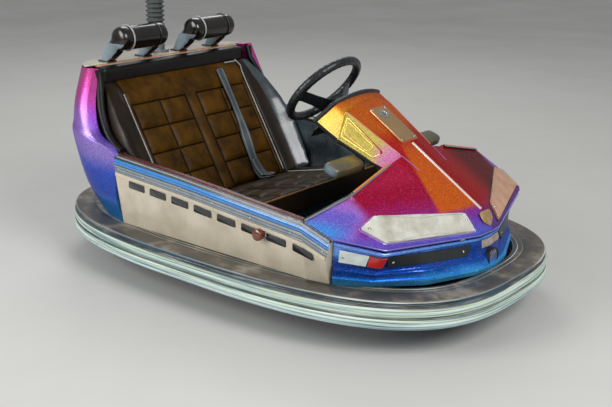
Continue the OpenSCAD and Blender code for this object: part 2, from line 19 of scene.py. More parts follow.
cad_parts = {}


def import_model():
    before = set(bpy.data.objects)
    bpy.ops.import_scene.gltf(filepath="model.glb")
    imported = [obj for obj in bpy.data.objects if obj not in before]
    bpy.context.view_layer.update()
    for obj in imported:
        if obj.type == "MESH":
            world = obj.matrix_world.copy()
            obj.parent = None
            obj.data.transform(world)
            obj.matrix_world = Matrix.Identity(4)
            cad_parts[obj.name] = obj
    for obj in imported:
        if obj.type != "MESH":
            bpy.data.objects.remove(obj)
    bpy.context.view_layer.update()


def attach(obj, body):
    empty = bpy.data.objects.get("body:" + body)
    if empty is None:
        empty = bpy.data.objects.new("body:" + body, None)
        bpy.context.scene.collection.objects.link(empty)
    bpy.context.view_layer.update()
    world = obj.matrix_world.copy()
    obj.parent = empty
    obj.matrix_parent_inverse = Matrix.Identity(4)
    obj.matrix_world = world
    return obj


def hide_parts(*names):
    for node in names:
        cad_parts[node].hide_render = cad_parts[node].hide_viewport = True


Point = Sequence[float]
Flat = tuple[float, float]
Socket = bpy.types.NodeSocket
Tree = bpy.types.NodeTree
Material = bpy.types.Material
Piece = bpy.types.Object
MM = 0.001
SIDES = (-1, 1)
HANDS = ((-1, "right"), (1, "left"))
LOG = logging.getLogger("bumper_car")

# Sizes that several sub-assemblies share
SKIRT = 212.5
SILL_Y = 530.0
WHEEL_CENTRE = (134.0, 0.0, 748.0)
COLUMN_TILT = 49.0


class Body(Enum):
    """The bodies that pieces ride on."""

    CAR = "car"
    STEERING = "steering"
    FRONT_WHEEL = "front_wheel"
    REAR_RIGHT = "rear_wheel_r"
    REAR_LEFT = "rear_wheel_l"


class Grain(Enum):
    """How the skin of a surface was made."""

    MOULDED = "moulded"
    PEBBLED = "pebbled"
    BRUSHED = "brushed"
    WOVEN = "woven"
    CAST = "cast"
    WRAPPED = "wrapped"


# Finishes


def linear(hex_colour: str) -> tuple[float, float, float, float]:
    """Turns an sRGB hex colour to linear red, green, blue and alpha.

    Args:
        hex_colour: Six hex digits, such as "c8551a".

    Returns:
        The linear colour with an alpha of 1.
    """
    parts = [int(hex_colour[i : i + 2], 16) / 255 for i in (0, 2, 4)]
    r, g, b = (c / 12.92 if c <= 0.04045 else ((c + 0.055) / 1.055) ** 2.4 for c in parts)
    return (r, g, b, 1.0)


def add(
    tree: Tree, kind: str, settings: dict[str, object] | None = None,
    inputs: dict[str | int, object] | None = None,
) -> bpy.types.Node:
    """Adds one shader node with its settings and links.

    Args:
        tree: The material's node tree.
        kind: Blender's name of the node, without its ShaderNode prefix.
        settings: The node's properties; "stops" are the places and hex colours of a colour ramp.
        inputs: Sockets by name or number, each with a socket to link from or a value.

    Returns:
        The new node.
    """
    node = tree.nodes.new("ShaderNode" + kind)
    for key, value in (settings or {}).items():
        if key == "stops":
            elements = node.color_ramp.elements
            elements[0].position = value[0][0]
            elements[1].position = value[-1][0]
            for place, colour in value[1:-1]:
                elements.new(place).color = linear(colour)
            elements[0].color = linear(value[0][1])
            elements[-1].color = linear(value[-1][1])
        else:
            setattr(node, key, value)
    for key, value in (inputs or {}).items():
        if isinstance(value, Socket):
            tree.links.new(value, node.inputs[key])
        else:
            node.inputs[key].default_value = value
    return node


RGBA = {"data_type": "RGBA"}
MADE: dict[str, Material] = {}


@dataclass(frozen=True)
class Finish:
    """A surface with two close tones, a grain of a real size and its gloss."""

    name: str
    colour: str
    shade: str
    roughness: float = 0.5
    metallic: float = 0.0
    grain: Grain = Grain.MOULDED
    grain_mm: float = 2.0
    relief_mm: float = 0.1
    cloud_mm: float = 90.0
    coat: float = 0.0
    sheen: float = 0.0
    spread: float = 0.12
    clear: float = 0.0
    shine: float = 0.5

    def material(self) -> Material:
        """Returns the node material, which is made once."""
        if self.name not in MADE:
            material = bpy.data.materials.new(self.name)
            material.use_nodes = True
            tree = material.node_tree
            tree.nodes.clear()
            place = add(tree, "TexCoord").outputs["Object"]
            shader = add(tree, "BsdfPrincipled", inputs=self.skin(tree, place)).outputs[0]
            add(tree, "OutputMaterial", inputs={"Surface": shader})
            MADE[self.name] = material
        return MADE[self.name]

    def relief(self, tree: Tree, place: Socket) -> Socket:
        """Draws the grain's height.

        Args:
            tree: The material's node tree.
            place: Place on the object in metres.

        Returns:
            A socket from 0 to 1.
        """
        scale = 1000 / self.grain_mm
        if self.grain is Grain.PEBBLED:
            cells = {"Vector": place, "Scale": scale, "Smoothness": 0.6}
            return add(tree, "TexVoronoi", {"feature": "SMOOTH_F1"}, cells).outputs["Distance"]
        if self.grain is Grain.BRUSHED:
            long = add(tree, "Mapping", inputs={"Vector": place, "Scale": (0.06, 1.0, 1.0)}).outputs[0]
            return add(tree, "TexNoise", inputs={"Vector": long, "Scale": scale, "Detail": 3.0}).outputs[0]
        if self.grain is Grain.WOVEN:
            wave = {"Vector": place, "Scale": scale / 6.28}
            waves = [add(tree, "TexWave", {"bands_direction": axis}, wave).outputs[1] for axis in ("Y", "Z")]
            return add(tree, "Math", {"operation": "MAXIMUM"}, dict(enumerate(waves))).outputs[0]
        if self.grain is Grain.WRAPPED:
            wave = {"Vector": place, "Scale": scale / 6.28, "Distortion": 1.5, "Detail": 1.0}
            return add(tree, "TexWave", {"bands_direction": "DIAGONAL"}, wave).outputs[1]
        detail = 6.0 if self.grain is Grain.CAST else 2.0
        return add(tree, "TexNoise", inputs={"Vector": place, "Scale": scale, "Detail": detail}).outputs[0]

    def skin(self, tree: Tree, place: Socket) -> dict[str, object]:
        """Draws the two tones, the gloss and the grain.

        Args:
            tree: The material's node tree.
            place: Place on the object in metres.

        Returns:
            The surface shader's sockets.
        """
        clouds = {"Vector": place, "Scale": 1000 / self.cloud_mm, "Detail": 5.0, "Roughness": 0.6}
        cloud = add(tree, "TexNoise", inputs=clouds).outputs[0]
        tone = add(tree, "MapRange", inputs={"Value": cloud, "From Min": 0.35, "From Max": 0.68}).outputs[0]
        tones = {0: tone, 6: linear(self.colour), 7: linear(self.shade)}
        colour = add(tree, "Mix", RGBA, tones).outputs[2]
        low, high = max(0.02, self.roughness - self.spread), min(1.0, self.roughness + self.spread)
        wear = {"Value": cloud, "From Min": 0.3, "From Max": 0.7, "To Min": low, "To Max": high}
        grain = {"Strength": 0.6, "Distance": self.relief_mm * MM, "Height": self.relief(tree, place)}
        return {
            "Base Color": colour,
            "Metallic": self.metallic,
            "Roughness": add(tree, "MapRange", inputs=wear).outputs[0],
            "Coat Weight": self.coat,
            "Coat Roughness": 0.08,
            "Sheen Weight": self.sheen,
            "Sheen Roughness": 0.4,
            "Specular IOR Level": self.shine,
            "Transmission Weight": self.clear,
            "Normal": add(tree, "Bump", inputs=grain).outputs[0],
        }


@dataclass(frozen=True)
class Zone:
    """A soft area of another colour: for each axis, where it starts and where it is full."""

    colour: str
    limits: dict[str, Flat]
    share: float = 1.0


@dataclass(frozen=True)
class FlakeLacquer(Finish):
    """Metal-flake lacquer sprayed in fades: the flakes sparkle under a deep clear coat, a few of them with a
    painted glint.

    Real flakes are a few tenths of a millimetre; they are drawn coarser, so that they show.
    """

    heights: tuple[tuple[float, str], ...] = ()
    zones: tuple[Zone, ...] = ()
    flake_mm: float = 2.4
    wander_m: float = 0.03

    def skin(self, tree: Tree, place: Socket) -> dict[str, object]:
        """Builds the fades by height and zone, then the flakes and their painted glints.

        Args:
            tree: The material's node tree.
            place: Place on the object in metres.

        Returns:
            The surface shader's sockets.
        """
        parts = add(tree, "SeparateXYZ", inputs={0: place}).outputs
        facing = add(tree, "SeparateXYZ", inputs={0: add(tree, "NewGeometry").outputs["Normal"]}).outputs
        wander = add(tree, "TexNoise", inputs={"Vector": place, "Scale": 14.0, "Detail": 2.0}).outputs[0]
        sockets = {"x": parts[0], "y": parts[1], "z": parts[2], "up": facing[2], "front": facing[0]}
        sockets["out"] = add(tree, "Math", {"operation": "ABSOLUTE"}, {0: parts[1]}).outputs[0]
        sockets["side"] = add(tree, "Math", {"operation": "ABSOLUTE"}, {0: facing[1]}).outputs[0]
        level = {0: wander, 1: self.wander_m, 2: parts[2]}
        for key, values in (("band", {0: parts[0], 1: 0.45, 2: parts[1]}), ("level", level)):
            sockets[key] = add(tree, "Math", {"operation": "MULTIPLY_ADD"}, values).outputs[0]
        low, high = self.heights[0][0], self.heights[-1][0]
        ends = [height * MM + self.wander_m / 2 for height in (low, high)]
        span = {"Value": sockets["level"], "From Min": ends[0], "From Max": ends[1]}
        stops = [((z - low) / (high - low), colour) for z, colour in self.heights]
        share = add(tree, "MapRange", inputs=span).outputs[0]
        colour = add(tree, "ValToRGB", {"stops": stops}, {0: share}).outputs[0]
        for zone in self.zones:
            amount: Socket | float = zone.share
            for axis, (start, full) in zone.limits.items():
                unit = 1.0 if axis in ("up", "front", "side") else MM
                limits = {"Value": sockets[axis], "From Min": start * unit, "From Max": full * unit}
                edge = add(tree, "MapRange", {"interpolation_type": "SMOOTHSTEP"}, limits).outputs[0]
                amount = add(tree, "Math", {"operation": "MULTIPLY"}, {0: amount, 1: edge}).outputs[0]
            colour = add(tree, "Mix", RGBA, {0: amount, 6: colour, 7: linear(zone.colour)}).outputs[2]
        cells = add(tree, "TexVoronoi", inputs={"Vector": place, "Scale": 1000 / self.flake_mm})
        chance = add(tree, "SeparateColor", inputs={0: cells.outputs["Color"]}).outputs
        dim = add(tree, "MapRange", inputs={"Value": chance[0], "To Min": 0.6, "To Max": 1.3}).outputs[0]
        tinted = add(tree, "Mix", {**RGBA, "blend_type": "MULTIPLY"}, {0: 1.0, 6: colour, 7: dim}).outputs[2]
        # A rare few flakes are mixed towards pale pink: painted glints
        rare = {"Value": chance[1], "From Min": 0.93, "To Max": 0.26}
        glint = add(tree, "MapRange", inputs=rare).outputs[0]
        bright = add(tree, "Mix", RGBA, {0: glint, 6: tinted, 7: linear("ff9ab8")}).outputs[2]
        tilt = add(tree, "Bump", inputs={"Strength": 0.2, "Distance": 0.0004, "Height": chance[2]}).outputs[0]
        return {
            "Base Color": bright, "Metallic": self.metallic, "Specular Tint": colour, "Normal": tilt,
            "Roughness": self.roughness, "Coat Weight": self.coat, "Coat Roughness": 0.04,
        }


@dataclass(frozen=True)
class WornRubber(Finish):
    """Moulded bumper rubber: bands by height, streaked along its length by other bumpers."""

    bands: tuple[tuple[float, str], ...] = ()

    def skin(self, tree: Tree, place: Socket) -> dict[str, object]:
        """Builds the bands, the scuffed flat top and the long streaks.

        Args:
            tree: The material's node tree.
            place: Place on the object in metres.

        Returns:
            The surface shader's sockets.
        """
        parts = add(tree, "SeparateXYZ", inputs={0: place}).outputs
        low, high = self.bands[0][0], self.bands[-1][0]
        span = {"Value": parts[2], "From Min": low * MM, "From Max": high * MM}
        level = add(tree, "MapRange", inputs=span).outputs[0]
        stops = [((z - low) / (high - low), colour) for z, colour in self.bands]
        rubbed = add(tree, "ValToRGB", {"stops": stops}, {0: level}).outputs[0]
        long = add(tree, "Mapping", inputs={"Vector": place, "Scale": (2.2, 2.2, 170.0)}).outputs[0]
        lines = {"Vector": long, "Scale": 1.0, "Detail": 5.0, "Roughness": 0.65}
        streak = add(tree, "TexNoise", inputs=lines).outputs[0]
        for start, full, amount, tone in ((0.49, 0.62, 0.85, "44687c"), (0.47, 0.38, 0.75, "d8e4e4")):
            reach = {"Value": streak, "From Min": start, "From Max": full, "To Max": amount}
            share = add(tree, "MapRange", inputs=reach).outputs[0]
            rubbed = add(tree, "Mix", RGBA, {0: share, 6: rubbed, 7: linear(tone)}).outputs[2]
        patches = {"Vector": place, "Scale": 7.0, "Detail": 8.0, "Roughness": 0.62}
        patch = add(tree, "TexNoise", inputs=patches).outputs[0]
        scuff = [(0.0, "3a3936"), (0.42, "4c4942"), (0.55, "5f574c"), (0.72, "7d766a"), (1.0, "8f8a80")]
        spot = add(tree, "MapRange", inputs={"Value": patch, "From Min": 0.3, "From Max": 0.72}).outputs[0]
        top = add(tree, "ValToRGB", {"stops": scuff}, {0: spot}).outputs[0]
        up = add(tree, "SeparateXYZ", inputs={0: add(tree, "NewGeometry").outputs["Normal"]}).outputs[2]
        flat = add(tree, "MapRange", inputs={"Value": up, "From Min": 0.75, "From Max": 0.95}).outputs[0]
        wear = {"Value": patch, "From Min": 0.3, "From Max": 0.7, "To Min": 0.28, "To Max": 0.62}
        grit = add(tree, "TexNoise", inputs={"Vector": place, "Scale": 260.0, "Detail": 3.0}).outputs[0]
        grain = {"Strength": 0.5, "Distance": 0.0008, "Height": grit}
        return {
            "Base Color": add(tree, "Mix", RGBA, {0: flat, 6: rubbed, 7: top}).outputs[2],
            "Roughness": add(tree, "MapRange", inputs=wear).outputs[0],
            "Normal": add(tree, "Bump", inputs=grain).outputs[0],
        }


NOSE_FADE = (
    (212, "2a8fd0"), (228, "1f78c4"), (250, "0b45a6"), (315, "0a3790"), (340, "3a6ccc"), (356, "5d63cc"),
    (385, "7350c0"), (412, "8a3aa4"), (436, "a52478"), (480, "ac0e40"), (560, "b40c2c"), (630, "c02a1c"),
    (680, "c85a18"), (760, "c8701c"),
)
# Two-pack lacquer over metal flake, flatted and polished: deep colour, sharp highlights on edges
NOSE_PAINT = FlakeLacquer(
    "flake_lacquer_nose", "a60e2c", "6a0a24", roughness=0.36, metallic=0.55, coat=0.16, heights=NOSE_FADE,
    zones=(
        Zone("c42a58", {"out": (118, 150), "z": (500, 520), "y": (-100, -120)}, 0.45),
        # Orange wedge beside the ridge strip, widening towards the front: painted reflection
        Zone("da6418", {"band": (166, 188), "x": (470, 600), "z": (418, 436)}),
        Zone("b01c16", {"band": (150, 110), "out": (112, 96), "up": (0.5, 0.7), "z": (560, 500)}, 0.6),
        # Darker red, maroon and dark purple on the nose's left half: painted shade
        Zone("aa0a0f", {"y": (-6, 10), "z": (372, 440)}),
        Zone("5e0710", {"y": (95, 260), "z": (380, 440)}, 0.85),
        Zone("7c1b63", {"y": (4, 20), "z": (446, 392)}, 0.6),
        Zone("cf6416", {"z": (606, 672), "up": (0.5, 0.7)}),
        Zone("e98cc0", {"side": (0.5, 0.75), "z": (530, 556), "x": (590, 545), "y": (40, -40)}),
        Zone("dcc962", {"side": (0.5, 0.75), "x": (545, 470), "z": (530, 560), "y": (40, -40)}),
        # The lilac on the side facet's upper part is partly the fade and partly painted highlight; the pale
        # pink patch near corner 2 is painted highlight
        Zone("a878dc", {"out": (396, 440), "z": (520, 484), "x": (676, 626)}, 0.9),
        Zone("d8a0e4", {"out": (402, 412), "z": (490, 506), "x": (606, 590)}, 0.7),
        Zone("6a66d2", {"out": (424, 458), "z": (484, 448), "x": (668, 610)}, 0.85),
        Zone("4a98ee", {"out": (462, 510), "z": (446, 408), "x": (660, 560)}),
        Zone("6a62cc", {"out": (395, 430), "z": (404, 376), "x": (716, 690)}, 0.75),
    ),
)
# The same lacquer in a gold to orange fade: warm sparks round the dash
COLLAR_PAINT = FlakeLacquer(
    "flake_lacquer_collar", "c65a1a", "a04410", roughness=0.36, metallic=0.55, coat=0.16,
    heights=((600, "ae9a4c"), (690, "b8993a"), (712, "d08a26"), (726, "cc7020"), (760, "b8541a")),
    # The darker red on the top of the collar's left half is painted shade
    zones=(Zone("b4440f", {"y": (20, 110), "z": (690, 720)}, 0.6),),
)
# The same lacquer in blues: it darkens upwards, then brightens under the ledge; the pale blue at the foot and
# under the ledge is partly painted highlight
LOWER_PAINT = FlakeLacquer(
    "flake_lacquer_lower", "0a3790", "062a70", roughness=0.32, metallic=0.6, coat=0.3,
    heights=(
        (212, "5ccaff"), (230, "48b4fa"), (246, "2c8ce6"), (260, "0f55b6"), (300, "0a3c94"), (322, "2464c0"),
        (334, "6aa4f4"), (372, "7a9cf0"),
    ),
)
# The same lacquer, azure at the foot and magenta at the top: the fade wraps round the rear
REAR_PAINT = FlakeLacquer(
    "flake_lacquer_rear", "b02a86", "7a1a70", roughness=0.34, metallic=0.6, coat=0.25,
    heights=(
        (212, "2a8fd0"), (330, "1c4fb0"), (450, "3b56c4"), (540, "7457cf"), (620, "9a4cc4"), (690, "c04a9e"),
        (760, "c64c96"), (800, "c2448c"),
    ),
    zones=(Zone("a98fcb", {"out": (505, 545), "z": (400, 490)}, 0.6),),
)
# Rubber, moulded in ribs and scuffed: pale weathered bands over a blue foot, a dull rubbed top
BUMPER_RUBBER = WornRubber(
    "moulded_bumper_rubber", "a9bdb2", "59666a",
    bands=(
        # The darker bands at 150 and 155 lie in a groove of the section: painted shade
        (104, "4a7088"), (113, "8fb0c2"), (118, "b0c6c6"), (148, "c0d0b8"), (150, "74867f"), (155, "6c7d78"),
        (157, "bccdb4"), (176, "b2c8c0"), (182, "ccd8a8"), (186, "55605f"), (190, "20282b"), (206, "262c2c"),
        (209, "8f9188"), (212, "a3a196"),
    ),
)
# The tub's vinyl-coated cloth, embossed: black, with broad grey clouds that are partly dust and partly
# painted sheen; the pebble breaks the shine up.
# Real pebbles are about 1 mm; on every vinyl they are drawn up to three times as coarse, to show
TUB_VINYL = Finish(
    "black_vinyl_cloth", "0d1418", "39474d", 0.26, grain=Grain.PEBBLED, grain_mm=3.4, relief_mm=0.25,
    cloud_mm=240, coat=0.35,
)
# The same cloth pulled tight round a roll: nearly black, with one long dull highlight
ROLL_VINYL = Finish(
    "black_roll_vinyl", "0c0a09", "15110f", 0.44, grain=Grain.PEBBLED, grain_mm=3.0, relief_mm=0.15,
    shine=0.3,
)
# Vinyl skin moulded over foam: black and smooth, so the light runs along it in a clean line
HEADREST_VINYL = Finish(
    "black_headrest_vinyl", "0d0907", "171009", 0.24, grain_mm=20, relief_mm=0.3, coat=0.3
)
# The same skin in grey on the stems' sides: a pale satin face without grain, partly grey vinyl and partly
# painted reflection
GREY_VINYL_AND_REFLECTION = Finish("grey_headrest_vinyl_and_reflection", "8496a0", "6d7f88", 0.34, grain_mm=20, relief_mm=0.3, coat=0.3)
# Upholstery vinyl, embossed and stitched in squares: olive brown in dark clouds, hardly any shine
QUILT_VINYL = Finish(
    "olive_brown_vinyl", "583800", "2c1b00", 0.5, grain=Grain.PEBBLED, grain_mm=2.6, relief_mm=0.22,
    shine=0.12,
)
# The same vinyl on the seat cushion, darker as painted shade, and dull
SHADED_SEAT_VINYL = Finish(
    "seat_vinyl_painted_shade", "33240c", "1b1206", 0.5, grain=Grain.PEBBLED, grain_mm=2.6, relief_mm=0.22,
    shine=0.12,
)
# Painted shade in the bottoms of the stitched seams: it takes the light away, so that each square stands out
SEAM_SHADE = Finish("seam_painted_shade", "1c1202", "120b02", 0.7, grain_mm=2, shine=0.1)
# Plain upholstery vinyl, stretched over the bolsters: dark brown with a slight sheen
BOLSTER_VINYL = Finish(
    "dark_brown_vinyl", "241706", "120b04", 0.42, grain=Grain.PEBBLED, grain_mm=2.6, relief_mm=0.22,
    shine=0.25,
)
# PVC cord, extruded: a thin pale line, soiled in places
PIPING_PVC = Finish("grey_piping_pvc", "a9adab", "8d9291", 0.4, cloud_mm=30)
# Vinyl rolled over a cord and sewn in: a tan line along the seat's front edge
FRONT_WELT = Finish("tan_vinyl_welt", "8a5c1e", "6a430f", 0.45, cloud_mm=60, shine=0.3)
# Polyurethane foam, moulded with its own skin: a soft tan block, greyed where knees rub it
KNEE_FOAM = Finish(
    "knee_pad_skin", "6b5a30", "3c4242", 0.34, grain=Grain.PEBBLED, grain_mm=3.0, relief_mm=0.2,
    coat=0.2,
)
# The same skin in grey at the pads' outer ends
KNEE_GREY_END = Finish("grey_knee_pad_end_skin", "66757c", "4f5c62", 0.36, grain_mm=3, relief_mm=0.2, coat=0.2)
# ABS, moulded: even black, faintly orange-peeled
BLACK_ABS = Finish("black_abs", "15181a", "1e2224", 0.38, grain_mm=1.6, relief_mm=0.05)
# Rubber edging, extruded: a matt black line along the edge
RUBBER_EDGE = Finish("edge_rubber", "17191a", "222526", 0.48, grain_mm=2.5, relief_mm=0.08)
# Polyurethane grip, moulded with wrapped ridges that break the highlight up
GRIP_PU = Finish(
    "grip_polyurethane", "16181a", "23262a", 0.36, grain=Grain.WRAPPED, grain_mm=9, relief_mm=0.7,
    cloud_mm=40,
)
# Chrome plate, buffed: mirrors the room and shines most at its edges
CHROME = Finish(
    "chrome_plate", "c9cdd1", "b3b8bd", 0.12, metallic=1.0, grain_mm=30, relief_mm=0.05, spread=0.05
)
# Aluminium strip, drawn and polished: one bright warm-white line down the ridge
SATIN_STRIP = Finish(
    "polished_aluminium_strip", "e6ded8", "cfc4bc", 0.32, metallic=0.35, grain_mm=30, relief_mm=0.03
)
# Anodised aluminium, brushed: warm gold with a drawn-out highlight. Real brush lines are finer
ANODISED = Finish(
    "anodised_aluminium", "bd9a6c", "a98a63", 0.36, metallic=0.75, grain=Grain.BRUSHED, grain_mm=1.2,
    relief_mm=0.04,
)
# Aluminium sheet, rolled and handled: grey with a smeared, uneven shine
DULL_SHEET = Finish(
    "aluminium_sheet", "c4b6aa", "9a8b80", 0.4, metallic=0.6, grain=Grain.BRUSHED, grain_mm=1.4,
    relief_mm=0.06, cloud_mm=25,
)
# Brass, cast and rubbed: a yellow gleam on a slightly rough skin
CAST_BRASS = Finish(
    "cast_brass", "c9ac7a", "a5865a", 0.42, metallic=0.65, grain=Grain.CAST, grain_mm=1.5,
    relief_mm=0.15, cloud_mm=20,
)
# Opal acrylic, vacuum formed: milky, glossy, a little yellowed
OPAL = Finish("opal_acrylic", "d2d2c8", "a8a594", 0.24, grain_mm=60, relief_mm=0.4, cloud_mm=70, coat=0.5)
# The same acrylic on the left lamp: pinkish, with the same gloss
OPAL_WARM = Finish(
    "opal_acrylic_warm", "c49474", "a87858", 0.24, grain_mm=60, relief_mm=0.4, cloud_mm=70, coat=0.5
)
# Orange lacquer, sprayed through a mask: a flat even border round the coin plate
PLATE_SEAT = Finish("orange_plate_seat", "bf4a1a", "a83a12", 0.3, cloud_mm=60, coat=0.9)
# Painted highlight in pearl pink: a thin bright edge on the ridge
RIDGE_HIGHLIGHT = Finish(
    "ridge_painted_highlight", "e6a48c", "d0785c", 0.25, metallic=0.4, grain_mm=30, relief_mm=0.05, coat=0.3
)
# Painted highlight in lilac: a thin lilac line on the crease, along the belt and round the right lamp
LILAC_HIGHLIGHT = Finish(
    "lilac_painted_highlight", "b49ad8", "8468c0", 0.25, metallic=0.5, grain_mm=30, relief_mm=0.05, coat=0.3
)
# White acrylic, moulded: cool white under a wet gloss
WHITE_LENS = Finish(
    "white_lens_acrylic", "d6dfdc", "b4bfbb", 0.24, grain_mm=30, relief_mm=0.2, cloud_mm=40, coat=0.8
)
# Red acrylic, moulded: deep colour under a wet gloss
RED_LENS = Finish("red_lens_acrylic", "cf1f1c", "b01512", 0.18, grain_mm=30, relief_mm=0.2, coat=0.9)
# Amber acrylic, moulded: dark orange-brown with a small sharp highlight
AMBER_LENS = Finish("amber_lens_acrylic", "7a2f08", "4c1c05", 0.16, grain_mm=20, relief_mm=0.2, coat=0.9)
# Gelcoat on glass fibre, moulded and waxed: warm cream with broad faint stains
CREAM_GEL = Finish(
    "cream_gelcoat", "c9c0ac", "b3a892", 0.3, grain_mm=6, relief_mm=0.05, cloud_mm=110, coat=0.5
)
# Grey enamel, sprayed: flat and cool, faintly clouded
GREY_GEL = Finish("grey_enamel", "8d969c", "767f86", 0.35, cloud_mm=60, coat=0.3)
# Red PVC strip, extruded: a dull dark red band
OXIDE_PVC = Finish("oxide_red_pvc", "5a1a1c", "421315", 0.32, cloud_mm=50, coat=0.4)
# Teal PVC strip, extruded: a dark line between the bright ones
TEAL_PVC = Finish("dark_teal_pvc", "16333c", "0f262e", 0.32, cloud_mm=50, coat=0.4)
# Azure enamel, sprayed and baked: a clean strong blue with a wet gloss
AZURE = Finish("azure_enamel", "1d86d6", "1670bb", 0.25, grain_mm=3, relief_mm=0.05, coat=0.9)
# Orange PVC strip, extruded: bright and almost without shine; on the cockpit's chrome trim the same orange is
# a painted reflection
ORANGE_STRIP_AND_REFLECTION = Finish("orange_strip_and_painted_reflection", "e8881c", "c8640f", 0.36, cloud_mm=40, coat=0.1)
# Black-backed glass, float made: a dark mirror
GLASS_BLACK = Finish("black_glazing", "0b0e11", "12161a", 0.1, grain_mm=40, relief_mm=0.05, coat=0.6)
# Clear glass, pressed: its flutes bend the light
CLEAR_GLASS = Finish("pressed_glass", "e8ecec", "dfe5e5", 0.06, grain_mm=9, relief_mm=0.4, clear=0.9)
# Polyester webbing, woven: a grey band with a soft fuzz. Its ribs are drawn twice as coarse, to show
WEBBING = Finish(
    "belt_webbing", "3d474d", "2c3439", 0.55, grain=Grain.WOVEN, grain_mm=2.4, relief_mm=0.35,
    sheen=0.3,
)
# The webbing's woven edges: the same ribs, worn paler
BELT_THREAD = Finish(
    "belt_thread", "6c787d", "59646a", 0.5, grain=Grain.WOVEN, grain_mm=2.4, relief_mm=0.35, sheen=0.3
)
# Black enamel, brushed on rough steel: dull and slightly lumpy
FRAME_ENAMEL = Finish(
    "black_frame_enamel", "1d2022", "2b2a27", 0.5, grain=Grain.CAST, grain_mm=4, relief_mm=0.12
)
# Aluminium sheet, rolled and walked on: grey with a scuffed, drawn shine
TREAD_SHEET = Finish(
    "tread_aluminium", "8b8c8d", "737475", 0.42, metallic=0.9, grain=Grain.BRUSHED, grain_mm=2,
    relief_mm=0.08,
)
# Steel tube, galvanised: grey with faint cloudy spangles
TUBE_STEEL = Finish(
    "galvanised_tube", "9b9ea1", "84888c", 0.4, metallic=0.9, grain=Grain.CAST, grain_mm=12,
    relief_mm=0.05, cloud_mm=35,
)
# PVC sleeve, blow moulded: matt grey-green
SLEEVE_PVC = Finish("sleeve_pvc", "4c5350", "3a403e", 0.5, grain_mm=3, relief_mm=0.1, cloud_mm=50)
# Bronze strip, rolled and rubbed by the mesh: bright brown metal
CONTACT_BRONZE = Finish(
    "contact_bronze", "9a7440", "7a5a30", 0.4, metallic=0.9, grain=Grain.BRUSHED, grain_mm=2,
    relief_mm=0.1,
)
# Cast iron, painted: dark and grainy
MOTOR_IRON = Finish(
    "motor_cast_iron", "2c2f31", "3a3835", 0.55, grain=Grain.CAST, grain_mm=3, relief_mm=0.3
)
# Solid rubber tyre, pressed: dead black, dusted brown
TYRE = Finish("solid_tyre_rubber", "17181a", "24221f", 0.7, grain=Grain.CAST, grain_mm=3, relief_mm=0.2)

# Concrete, floated and sealed: a pale even grey that keeps the car's shadow soft
STUDIO_FLOOR = Finish("studio_floor", "c9c8c4", "c3c2be", 0.55, cloud_mm=900, grain_mm=8)


# Forms


class Form:
    """Points in millimetres and the faces between them, before they become a mesh."""

    def __init__(self) -> None:
        """Starts empty."""
        self.points: list[tuple[float, float, float]] = []
        self.faces: list[tuple[int, ...]] = []
        self.finishes: list[int] = []

    def take(self, points: Iterable[Point], faces: Iterable[Sequence[int]], finish: int = 0) -> "Form":
        """Adds points and faces.

        Args:
            points: New points.
            faces: Faces that count within the new points.
            finish: Number of the finish these faces wear.

        Returns:
            This form.
        """
        start = len(self.points)
        self.points += [tuple(float(c) for c in p) for p in points]
        for face in faces:
            self.faces.append(tuple(start + i for i in face))
            self.finishes.append(finish)
        return self

    def join(self, other: "Form", finish: int | None = None) -> "Form":
        """Adds a copy of another form.

        Args:
            other: The form to add.
            finish: Number of the finish, or None to keep the other's own.

        Returns:
            This form.
        """
        start = len(self.points)
        self.points += other.points
        self.faces += [tuple(start + i for i in face) for face in other.faces]
        self.finishes += other.finishes if finish is None else [finish] * len(other.faces)
        return self

    def grid(
        self, rows: Sequence[Sequence[Point]], finish: int = 0, ring: bool = False, ends: bool = False
    ) -> "Form":
        """Adds a sheet of quads between rows of points.

        Args:
            rows: Rows with the same number of points.
            finish: Number of the finish.
            ring: True if each row closes on itself.
            ends: True to close the first and last row with a face.

        Returns:
            This form.
        """
        n = len(rows[0])
        across = n if ring else n - 1
        faces: list[Sequence[int]] = [
            (r * n + c, r * n + (c + 1) % n, (r + 1) * n + (c + 1) % n, (r + 1) * n + c)
            for r in range(len(rows) - 1)
            for c in range(across)
        ]
        if ends:
            faces.append(tuple(range(n - 1, -1, -1)))
            faces.append(tuple((len(rows) - 1) * n + c for c in range(n)))
        return self.take([p for row in rows for p in row], faces, finish)

    def mirrored(self) -> "Form":
        """Returns a copy across the car's middle plane, with its faces turned."""
        other = Form()
        other.points = [(x, -y, z) for x, y, z in self.points]
        other.faces = [tuple(reversed(face)) for face in self.faces]
        other.finishes = list(self.finishes)
        return other

    def both(self) -> "Form":
        """Adds the mirror copy and returns this form."""
        return self.join(self.mirrored())


def mix(a: Point, b: Point, t: float) -> Vector:
    """Returns the point a share t of the way from a to b."""
    return Vector(a) * (1 - t) + Vector(b) * t


def whole(half: Sequence[Point]) -> list[Vector]:
    """Returns a half row that ends on the middle plane, followed by its mirror image."""
    row = [Vector(p) for p in half]
    return row + [Vector((p.x, -p.y, p.z)) for p in reversed(row[:-1])]


def rounded(
    path: Sequence[Point], radius: float | Sequence[float], steps: int = 5, closed: bool = False
) -> list[Vector]:
    """Rounds the corners of a path of straight stretches.

    Args:
        path: Its corners.
        radius: How far each curve reaches along its two stretches, or one number for each corner.
        steps: Pieces in each curve.
        closed: True if the last corner joins the first.

    Returns:
        Points along the path, always as many for the same number of corners.
    """
    pts = [Vector(p) for p in path]
    n = len(pts)
    out: list[Vector] = []
    for i, p in enumerate(pts):
        if not closed and i in (0, n - 1):
            out.append(p)
            continue
        reach = radius if isinstance(radius, (int, float)) else radius[i]
        before, after = pts[i - 1] - p, pts[(i + 1) % n] - p
        a = p + before.normalized() * min(reach, before.length * 0.49)
        b = p + after.normalized() * min(reach, after.length * 0.49)
        for k in range(steps + 1):
            t = k / steps
            out.append(a * (1 - t) ** 2 + p * 2 * t * (1 - t) + b * t * t)
    return out


